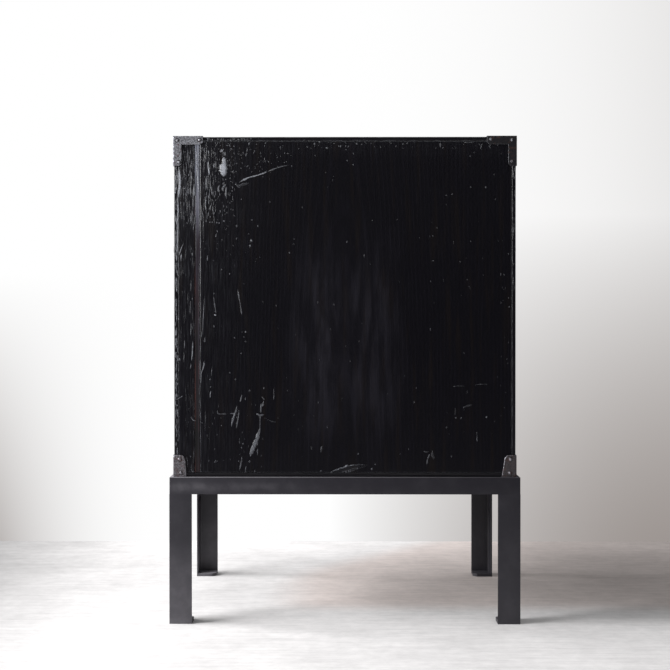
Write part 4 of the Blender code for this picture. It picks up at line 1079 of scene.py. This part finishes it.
        (0.5, (246.9, 152.4, 0.2), (246.2, 155.4, 0.8), (245.6, 157, 0.3)),
        (0.45, (242.6, 151.6, 0.3), (243.6, 153.6, 0.7), (244.4, 154.8, 0.3)),
        (0.5, (264.3, 157.4, 0.2), (264.7, 159.2, 0.7), (264.9, 160.6, 0.2))],
    # bright lines down the strip: wear, and a painted highlight where they catch the light
    "strip": [
        (0.95, (196.2, 146.6, 0.5), (196.4, 156, 0.7), (196.7, 166, 0.9), (197.4, 174, 1.1), (198, 182, 1.0),
         (198.6, 190, 0.7), (198.9, 197, 0.2)),
        (0.75, (198.8, 147, 0.3), (198.8, 160, 0.6), (198.9, 170, 0.4)),
        (0.8, (199.1, 192, 0.2), (199.2, 204, 0.4), (199.2, 220, 0.35), (199.2, 236, 0.2)),
        (0.7, (195.4, 184, 0.2), (195.6, 194, 0.4), (195.9, 206, 0.45), (196, 222, 0.35), (195.9, 244, 0.3),
         (195.8, 262, 0.2)),
        (0.45, (199.3, 258, 0.2), (199.2, 286, 0.35), (199.2, 312, 0.3), (199.3, 340, 0.2)),
        (0.35, (199.6, 344, 0.2), (199.5, 366, 0.35), (199.4, 396, 0.3), (199.2, 420, 0.2))],
}
strokeGains = {   # how much barer, and how wide, a group's strokes are than marked
    "streaks beside the strip": (1.3, 0.75), "narrow board": (1.25, 0.75), "under the iron": (1.2, 0.85),
    "lip": (1.2, 1.2), "pale patch": (1.0, 1.22),
}
backDots = [   # how bare, then x, y and radius in pixels of the same view
    (0.95, 251.1, 240.5, 1.35), (0.95, 250.2, 245.5, 1.2), (0.4, 248.8, 234, 0.7), (0.4, 255.5, 261.3, 0.6),
    (0.55, 251.9, 220, 0.9), (0.55, 257.9, 226, 1.0), (0.55, 236.8, 226, 1.1), (0.4, 241.4, 199.4, 0.8),
    (0.6, 236.8, 163.6, 1.0), (0.6, 236.1, 171.7, 0.9), (0.7, 254.7, 151.3, 0.9), (0.4, 260.4, 153.8, 0.7),
    (0.5, 233, 165.2, 0.7), (0.45, 231.4, 169, 0.7), (0.45, 229.6, 165.4, 0.9), (0.4, 248.2, 166, 0.8),
    (0.85, 212.3, 222.2, 0.9), (0.6, 209.9, 222.2, 0.9), (0.9, 217, 222.6, 0.9), (0.85, 219.2, 223.1, 0.9),
    (0.8, 224.1, 221, 1.1), (0.5, 217.8, 219.7, 0.8), (0.5, 220.6, 211.2, 0.9), (0.4, 229.8, 221.4, 0.6),
    (0.5, 191.4, 220.2, 0.8), (0.5, 184.3, 219.5, 0.7), (0.55, 192.6, 162.2, 0.9), (0.4, 186.2, 169.6, 0.7),
    (0.55, 213.8, 293.4, 0.9), (0.6, 213.8, 326.3, 1.1), (0.7, 245.7, 332, 1.1), (0.4, 242.3, 332, 0.8),
    (0.4, 234.7, 337.8, 1.0), (0.4, 243.8, 337, 0.8), (0.45, 245.7, 341.6, 1.0), (0.3, 221.6, 269.7, 1.0),
    (0.25, 229.7, 273.9, 1.0), (0.5, 289.7, 252.9, 1.0), (0.5, 178.8, 284.6, 0.9), (0.55, 178.4, 292.4, 1.0),
    (0.6, 192.3, 298.8, 0.9), (0.85, 176.7, 346.4, 1.1), (0.75, 179.2, 359.4, 1.2), (0.45, 210.2, 379.3, 1.0),
    (0.3, 210.6, 387, 0.8), (0.4, 235.4, 379.3, 0.9), (0.25, 241.2, 353.3, 0.8), (0.3, 249.6, 390.8, 0.9),
    (0.45, 264.1, 388.1, 1.2), (0.25, 229.7, 372.8, 0.9), (0.65, 177.8, 415.8, 1.1), (0.7, 176.6, 429, 0.9),
    (0.5, 191.5, 417.6, 0.8), (0.3, 221.4, 425.7, 0.9), (0.5, 242.9, 443.8, 0.9), (0.4, 241.7, 448, 0.8),
    (0.55, 238.8, 461.4, 0.9), (0.35, 249.6, 461.6, 1.2), (0.5, 190.4, 456.6, 0.8), (0.35, 192.8, 457.6, 0.6),
    (0.4, 358.2, 453.8, 0.9), (0.45, 371.9, 469.1, 1.1), (0.45, 375.5, 464.5, 0.9), (0.3, 320.8, 471.2, 0.9),
    (0.45, 456, 418, 1.0), (0.45, 461.3, 418, 1.0), (0.5, 486.6, 417.2, 1.1), (0.25, 451.6, 456.6, 1.0),
    (0.35, 446.3, 195.4, 1.0), (0.35, 452.1, 194.2, 1.0), (0.25, 470.6, 187.4, 0.9), (0.3, 485.6, 187.4, 1.0),
    (0.35, 495.2, 199.3, 0.9), (0.3, 501.1, 154, 0.9), (0.3, 474, 152.8, 0.9), (0.3, 470, 156.3, 0.9),
    (0.45, 509, 307, 0.8), (0.45, 512, 337, 0.8), (0.4, 507, 359, 0.8), (0.35, 512, 401, 0.8),
    (0.25, 437, 228, 0.9), (0.25, 433, 236, 0.8), (0.25, 433, 261, 0.8), (0.35, 403.2, 144.4, 1.0),
    (0.3, 407.4, 143.5, 0.8), (0.5, 356.9, 143.9, 1.1), (0.4, 353.8, 153.8, 0.9), (0.3, 347.3, 160.7, 0.8),
    (0.35, 353.5, 164.9, 1.0), (0.65, 327.1, 148, 1.2), (0.6, 340.6, 146.5, 1.1), (0.4, 338.6, 146.3, 0.8),
    (0.5, 345.8, 146.4, 0.9), (0.5, 348.6, 146.6, 0.9), (0.4, 346.2, 150, 0.8), (0.6, 314.8, 144, 1.4),
    (0.55, 319.4, 142.4, 1.2), (0.6, 307.4, 147.1, 1.0), (0.5, 304.5, 140.4, 0.8), (0.45, 282.3, 141.2, 0.9),
    (0.4, 280.6, 147.3, 1.0), (0.3, 315.2, 155.7, 0.9), (0.4, 375.6, 141.6, 0.9), (0.35, 361.9, 144.6, 0.8),
    (0.35, 270, 202, 0.8), (0.4, 294, 239, 0.9), (0.35, 294, 244, 0.8), (0.3, 263, 176.8, 0.8),
]
# worn stretches, many fine strokes at random within a box of the view: its box, their count, least and most
# length, half width and bareness, and how far they lean off upright
backRubs = {
    "lip below": ((175.2, 250, 177.8, 452), 90, (2, 9), (0.3, 0.62), (0.45, 1.0), 0.03),
    "lip above": ((175.0, 166, 178.4, 250), 44, (3, 12), (0.3, 0.66), (0.5, 1.0), 0.03),
    "narrow board": ((179.5, 152, 195, 224), 84, (2, 13), (0.18, 0.38), (0.3, 0.9), 0.03),
    "narrow board below": ((179.5, 250, 194, 470), 46, (3, 14), (0.2, 0.34), (0.2, 0.5), 0.03),
    "wide board by the strip": ((201, 144, 217, 222), 84, (2, 11), (0.2, 0.4), (0.3, 0.9), 0.02),
    "wide board beyond": ((214, 142, 236, 216), 110, (0.9, 3.4), (0.2, 0.42), (0.3, 0.85), 0.12),
    "specks above the scratch": ((236, 141, 292, 172), 74, (0.8, 2.6), (0.22, 0.42), (0.2, 0.7), 0.4),
    "specks below the scratch": ((203, 222, 262, 262), 24, (0.8, 2.6), (0.25, 0.5), (0.1, 0.35), 0.3),
    "top board's edge": ((203, 138.4, 252, 141), 60, (0.5, 1.6), (0.4, 1.1), (0.2, 0.42), 2.5),
    "top edge": ((290, 140.5, 500, 149), 46, (0.8, 2.4), (0.25, 0.55), (0.2, 0.5), 0.8),
    "cluster at the foot": ((206, 396, 268, 470), 36, (0.9, 4), (0.25, 0.5), (0.15, 0.38), 0.25),
    "right lip": ((512.2, 166, 515.6, 300), 30, (2, 10), (0.22, 0.4), (0.2, 0.5), 0.02),
    "right edge": ((500, 240, 513, 420), 26, (0.9, 3), (0.25, 0.45), (0.2, 0.45), 0.2),
    "all over": ((262, 170, 500, 470), 70, (0.8, 4), (0.22, 0.42), (0.1, 0.26), 0.3),
}
markMake = {
    "proud": 0.09 * mm, "sunk": 0.12 * mm, "columns": 5, "longestStep": 1.2, "steps": (4, 40),
    "ragged": 0.42, "raggedSize": 3.2, "width": 0.85, "dotFade": 0.86,
    "steepness": 3,     # of the lens's sides
    "bluntness": 8,     # of its ends
    "rimFade": 0.7, "underside": 0.6,
}


def markSurface(path, make, face, seed):
    # a flat-topped lens of a section carried along the mark, its half width run between the given ones and
    # frayed by noise, closing to a point at both ends; worked in the view's pixels, then set on the back
    path = np.array(path, float)
    along = np.concatenate([[0], np.cumsum(np.linalg.norm(np.diff(path[:, :2], axis=0), axis=1))])
    steps = int(np.clip(along[-1] / make["longestStep"], *make["steps"]))
    even = np.linspace(0, along[-1], steps + 1)
    x, y, half = (np.interp(even, along, path[:, i]) for i in range(3))
    ahead = np.stack([np.gradient(x), np.gradient(y)], axis=-1)
    ahead = ahead / np.linalg.norm(ahead, axis=1, keepdims=True)
    turn = np.linspace(0, 2 * math.pi, 2 * make["columns"], endpoint=False)
    aside, out = np.cos(turn)[None, :], np.clip(make["steepness"] * np.sin(turn), -1, 1)[None, :]
    close = np.sqrt(np.clip(1 - (2 * even / along[-1] - 1) ** make["bluntness"], 0, 1))[:, None]
    fray = softNoise(even[:, None] + 0 * turn, np.sign(aside) * 50, make["raggedSize"], seed)
    fray = 1 + make["ragged"] * fray
    width = make["width"] * half[:, None] * close * fray * aside
    pixel = mm / markView["scale"]
    across = (markView["middle"] - (x[:, None] - ahead[:, 1:] * width)) * pixel
    up = markView["levelHeight"] - (y[:, None] + ahead[:, :1] * width - markView["level"]) * pixel
    depth = np.where(out > 0, make["proud"], make["sunk"]) * out * close
    bare = close * (1 - make["rimFade"] * np.abs(aside) ** 4) * np.where(out > 0, 1.0, make["underside"])
    return gridSurface(np.stack([across, face + depth, up], axis=-1), wrapColumns=True), bare.ravel()


def makeBackMarks(make):
    # every marked and random stroke as one piece, on the boards' back or on the strip's
    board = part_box("back_board_wide")[1].y
    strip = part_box("back_seam_strip")
    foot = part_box("side_board_right")[0].z
    strokes = []
    for group, marked in backStrokes.items():
        gain, wide = strokeGains.get(group, (1.0, 1.0))
        strokes += [(min(bare * gain, 1.0), *((x, y, half * wide) for x, y, half in path))
                    for bare, *path in marked]
    for bare, x, y, radius in backDots:
        ends = ((x, y - radius, radius / 3), (x, y, radius), (x, y + radius, radius / 3))
        strokes.append((bare * make["dotFade"], *ends))
    random = np.random.default_rng(7)
    for (left, top, right, bottom), count, length, half, bareness, lean in backRubs.values():
        least = (left, top, length[0], half[0], bareness[0], -lean)
        most = (right, bottom, length[1], half[1], bareness[1], lean)
        for x, y, reach, width, bare, tilt in random.uniform(least, most, (count, 6)):
            strokes.append((bare, (x - tilt * reach / 2, y - reach / 2, width / 3), (x, y, width),
                            (x + tilt * reach / 2, y + reach / 2, width / 3)))
    surfaces, bareness = [], []
    for number, (strength, *path) in enumerate(strokes):
        middle = (markView["middle"] - np.mean([point[0] for point in path])) / markView["scale"] * mm
        onStrip = strip[0].x < middle < strip[1].x
        (points, faces), bare = markSurface(path, make, strip[1].y if onStrip else board, 300 + number)
        points[:, 2] = np.maximum(points[:, 2], foot)
        surfaces.append((points, faces))
        bareness.append(bare * strength)
    makePiece("scuffs_on_back", surfaces, "chest", backLacquer,
              values={"scuff": np.concatenate(bareness)}, smooth=8)


makeBackMarks(markMake)
print("marks made")


# Finishes of the pieces kept from the frame

finishes = {   # a name takes the first of these beginnings that it has
    "back_board": backLacquer, "back_seam_strip": seamStrip, "side_board": uprightLacquer,
    "top_board": levelLacquer, "bottom_board": footLacquer, "shelf": shelfPaulownia,
    "side_handle_plate": plateIron, "lock": plateIron,
}
drawerFinishes = {   # and a drawer's piece the first of these words
    "plate": plateIron, "side": deepPaulownia, "front": drawerLacquer, "floor": widePaulownia,
    "back": widePaulownia,
}

for name, node in nodes.items():
    if name.startswith("drawer"):
        fitting = [material for word, material in drawerFinishes.items() if word in name]
    else:
        fitting = [material for start, material in finishes.items() if name.startswith(start)]
    if fitting:
        node.data.materials.clear()
        node.data.materials.append(fitting[0])
print("finishes set")


# Floor, backdrop, lights and camera

stageLook = {
    # the second floor colour tints the painted shadow
    "floor": "#dbd9d9", "paintedShadowFloor": "#dfd4d0", "floorRoughness": 0.8, "floorReach": 12.0,
    "floorClears": (1.2, 3.0),   # distances from the middle
    "backdrop": "#ffffff", "shadedBackdrop": "#968e8a", "wallPlace": -0.63, "wallSize": (12.0, 5.0),
    "ambient": 0.39, "keyPower": 222.0, "keySize": (2.7, 1.5), "keyPlace": (2.85, 0.6, 1.35),
    "keyAim": (0.0, 0.1, 0.45),
    "cardNear": 1.2, "cardFar": 3.1, "cardLow": 4 * mm, "cardHigh": 4.2, "cardColour": "#28262e",
    # masks: the axis, where along it a mask begins and ends, and the mask's values there
    # on the floor the masks paint light and shade: even dims it far towards +X, beyond brightens it towards
    # the wall, aside and deep darken it towards -X, and the last two place a painted shadow
    "floorMasks": {
        "even": ("X", 0.9, 0.33, 0.4, 1.2), "beyond": ("Y", -0.3, -0.62, 1.0, 1.2),
        "aside": ("X", -0.2, -0.58, 0.0, 0.37), "deep": ("Y", 0.28, 0.16),
        "warmAside": ("X", 0.17, 0.03), "warmDeep": ("Y", 0.16, 0.05),
    },
    "paintedShadowSlope": -0.75, "paintedShadowSlant": (0.33, 0.18),   # the painted shadow's warm tint ends at a slanting line as well
    # how far the painted shadow darkens the floor
    "paintedShadowLevel": (0.0, 1.0, 1.0, 0.88),
    "clouds": (0.35, 0.68, 1.05, 0.88), "fine": (0.35, 0.65, 1.05, 0.94), "brushed": (0.35, 0.65, 1.06, 0.93),
    "cloudScale": 6.0, "fineScale": 42.0, "brush": (9 * mm, 130 * mm, 6.6, 5.0, 0.7),
    # the wall's masks paint its shade
    "wallMasks": {
        "rest": ("X", -0.806, 0.035), "across": ("X", -0.806, 0.035, 1.0, 0.0), "above": ("Z", -0.26, 0.80),
        "near": ("X", 0.447, 0.841), "foot": ("Z", 0.655, -0.012, 0.0, 0.72),
    },
    "wallHigh": 0.27, "wallSides": (2.0, 0.85), "wallTop": (2.4, 1.35),
}


def flatSheet(name, corners, material, faces=((0, 1, 2, 3),)):
    mesh = bpy.data.meshes.new(name)
    mesh.from_pydata(corners, [], faces)
    mesh.materials.append(material)
    sheet = bpy.data.objects.new(name, mesh)
    bpy.context.scene.collection.objects.link(sheet)
    return sheet


def hideFromLight(sheet):
    # off for every ray but the camera's and the gloss's
    sheet.visible_diffuse = sheet.visible_shadow = False
    sheet.visible_transmission = sheet.visible_volume_scatter = False


def seenDirectly(tree):
    # 1 for rays from the camera and for those that show in gloss or glass
    path = addNode(tree, "LightPath")
    seen = addNode(tree, "Math", {0: path.outputs["Is Camera Ray"], 1: path.outputs["Is Glossy Ray"]},
                   operation="MAXIMUM")
    return addNode(tree, "Math", {0: seen, 1: path.outputs["Is Transmission Ray"]}, operation="MAXIMUM")


def makeFloor(look):
    # pale limewashed cement, faintly clouded and brushed, with painted light and shade: dimmer away from the
    # window and where it nears the wall's sides, brighter towards the wall, and a painted shadow, warmer and
    # darker, where the chest's shadow falls; far off it clears, and the plain backdrop shows
    material, tree, shader, place, axes = newMaterial("pale_floor")
    clouds = addNode(tree, "TexNoise", {"Vector": place, "Scale": look["cloudScale"], "Detail": 7.0,
                                        "Roughness": 0.65})
    fine = addNode(tree, "TexNoise", {"Vector": place, "Scale": look["fineScale"], "Detail": 6.0,
                                      "Roughness": 0.7})
    brushed = stretchedNoise(tree, axes["Y"], axes["X"], *look["brush"])
    masks = {key: addNode(tree, "MapRange", {"Value": axes[axis], span: ends}, **eased)
             for key, (axis, *ends) in look["floorMasks"].items()}
    # a painted shadow, warmer and darker, where the chest's shadow falls on the floor
    slant = addNode(tree, "Math", {0: axes["Y"], 1: look["paintedShadowSlope"], 2: axes["X"]},
                    operation="MULTIPLY_ADD")
    paintedShadow = addNode(tree, "MapRange", {"Value": slant, span: look["paintedShadowSlant"]}, **eased)
    for key in ("warmAside", "warmDeep"):
        paintedShadow = addNode(tree, "Math", {0: paintedShadow, 1: masks[key]}, operation="MULTIPLY")
    tint = addNode(tree, "Mix", {"Factor": paintedShadow, "A": look["floor"], "B": look["paintedShadowFloor"]}, **colours)
    # painted shade: darker towards -X, away from the window
    paintedShade = addNode(tree, "Math", {0: masks["aside"], 1: masks["deep"]}, operation="MULTIPLY")
    paintedShade = addNode(tree, "Math", {0: 1.0, 1: paintedShade}, operation="SUBTRACT")
    levels = [addNode(tree, "MapRange", {"Value": field, span: look[key]}) for field, key in (
        (clouds, "clouds"), (fine, "fine"), (brushed, "brushed"), (paintedShadow, "paintedShadowLevel"))]
    shade = paintedShade
    # painted light and shade: dimmer far towards +X, brighter towards the wall
    for factor in (masks["even"], masks["beyond"], *levels):
        shade = addNode(tree, "Math", {0: shade, 1: factor}, operation="MULTIPLY")
    colour = addNode(tree, "VectorMath", {0: tint, "Scale": shade}, operation="SCALE")
    addNode(tree, "", {"Base Color": colour, "Roughness": look["floorRoughness"]}, node=shader)
    distance = addNode(tree, "VectorMath", {0: place}, operation="LENGTH").outputs["Value"]
    far = addNode(tree, "MapRange", {"Value": distance, span: look["floorClears"]}, **eased)
    far = addNode(tree, "Math", {0: far, 1: seenDirectly(tree)}, operation="MULTIPLY")
    clear = addNode(tree, "BsdfTransparent")
    both = addNode(tree, "MixShader", {0: far, 1: shader, 2: clear})
    addNode(tree, "", {"Surface": both}, node=tree.nodes["Material Output"])
    wide = look["floorReach"]
    flatSheet("floor", [(-wide, -wide, 0), (wide, -wide, 0), (wide, wide, 0), (-wide, wide, 0)], material)


def makeWall(look):
    # a plain wall behind the object, as the photograph has it: white, and greyer towards the foot on both
    # sides. It shows to the camera and from its front only, lights nothing, and ends in the backdrop's white.
    # Its shade is 1 - rest^2 at the foot and wallHigh * across^2 above, or near^2 * foot where that is more
    material, tree, _, _, axes = newMaterial("pale_wall")
    # the grey towards the foot on both sides is painted shade
    masks = {key: addNode(tree, "MapRange", {"Value": axes[axis], span: ends})
             for key, (axis, *ends) in look["wallMasks"].items()}
    squares = {key: addNode(tree, "Math", {0: masks[key], 1: masks[key]}, operation="MULTIPLY")
               for key in ("rest", "across", "above", "near")}
    fast = addNode(tree, "Math", {0: 1.0, 1: squares["rest"]}, operation="SUBTRACT")
    slow = addNode(tree, "Math", {0: squares["across"], 1: look["wallHigh"]}, operation="MULTIPLY")
    shade = addNode(tree, "Mix", {"Factor": squares["above"], "A": fast, "B": slow}, data_type="FLOAT")
    other = addNode(tree, "Math", {0: squares["near"], 1: masks["foot"]}, operation="MULTIPLY")
    shade = addNode(tree, "Math", {0: shade, 1: other}, operation="MAXIMUM")
    aside = addNode(tree, "Math", {0: axes["X"]}, operation="ABSOLUTE")
    for value, key in ((aside, "wallSides"), (axes["Z"], "wallTop")):
        fade = addNode(tree, "MapRange", {"Value": value, span: look[key]}, **eased)
        shade = addNode(tree, "Math", {0: shade, 1: fade}, operation="MULTIPLY")
    plain = addNode(tree, "Mix", {"Factor": shade, "A": look["backdrop"], "B": look["shadedBackdrop"]},
                    **colours)
    front = addNode(tree, "Emission", {"Color": plain, "Strength": 1.0})
    behind = addNode(tree, "NewGeometry").outputs["Backfacing"]
    clear = addNode(tree, "BsdfTransparent")
    both = addNode(tree, "MixShader", {0: behind, 1: front, 2: clear})
    addNode(tree, "", {"Surface": both}, node=tree.nodes["Material Output"])
    half, tall, y = look["wallSize"][0] / 2, look["wallSize"][1], look["wallPlace"]
    wall = flatSheet("wall", [(half, y, 0), (-half, y, 0), (-half, y, tall), (half, y, tall)], material)
    hideFromLight(wall)
    wall.visible_glossy = False


def makeBackdrop(look):
    # a plain white backdrop that lights nothing by itself; the light on the object is an even, weaker one
    world = bpy.data.worlds.new("studio")
    world.use_nodes = True
    bpy.context.scene.world = world
    tree = world.node_tree
    tree.nodes.clear()
    shown = addNode(tree, "Background", {"Color": look["backdrop"], "Strength": 1.0})
    light = addNode(tree, "Background", {"Color": (1.0, 1.0, 1.0, 1.0), "Strength": look["ambient"]})
    both = addNode(tree, "MixShader", {0: seenDirectly(tree), 1: light, 2: shown})
    addNode(tree, "OutputWorld", {"Surface": both})


def makeLights(look):
    # a soft window on the left of the view, and a square of dark cards round the stage, seen only in gloss,
    # that keeps the lacquer black as a darkened room does: rings of corners on the floor and round the top
    lamp = bpy.data.lights.new("window", "AREA")
    lamp.shape = "RECTANGLE"
    lamp.size, lamp.size_y = look["keySize"]
    lamp.energy = look["keyPower"]
    window = bpy.data.objects.new("window", lamp)
    window.location = look["keyPlace"]
    back = Vector(look["keyPlace"]) - Vector(look["keyAim"])
    window.rotation_euler = back.to_track_quat("Z", "Y").to_euler()
    bpy.context.scene.collection.objects.link(window)
    material, tree, *_ = newMaterial("dark_card")
    card = addNode(tree, "Emission", {"Color": look["cardColour"], "Strength": 1.0})
    addNode(tree, "", {"Surface": card}, node=tree.nodes["Material Output"])
    ring = np.array([(-1, -1), (1, -1), (1, 1), (-1, 1)])
    rows = [np.column_stack([ring * look[reach], np.full(4, look[height])]) for reach, height in (
        ("cardNear", "cardLow"), ("cardFar", "cardLow"), ("cardFar", "cardHigh"))]
    points, faces = gridSurface(np.array(rows), wrapColumns=True)
    cards = flatSheet("dark_cards", points.tolist(), material, faces)
    hideFromLight(cards)
    cards.visible_camera = False


cameraView = {
    "place": (0.0035, 2.50575, 0.5295), "lens": 68.85, "sensor": 36.0,
    "frame": 670,                  # pixels of the photograph
    "vanishing": (342.8, 325.2),   # and where lines along Y meet in them
}


def makeCamera(look):
    # turned a little down and towards the window, as far as the photograph's middle lies from its vanishing
    # point
    camera = bpy.data.cameras.new("camera")
    camera.lens, camera.sensor_width = look["lens"], look["sensor"]
    viewer = bpy.data.objects.new("camera", camera)
    viewer.location = look["place"]
    focal = look["lens"] / look["sensor"] * look["frame"]
    aside, down = (math.atan((centre - look["frame"] / 2) / focal) for centre in look["vanishing"])
    viewer.rotation_euler = (math.radians(90) + down, 0, math.radians(180) + aside)
    bpy.context.scene.collection.objects.link(viewer)
    bpy.context.scene.camera = viewer


makeFloor(stageLook)
makeWall(stageLook)
makeBackdrop(stageLook)
makeLights(stageLook)
makeCamera(cameraView)
bpy.context.scene.view_settings.view_transform = "Standard"
print("stage set")
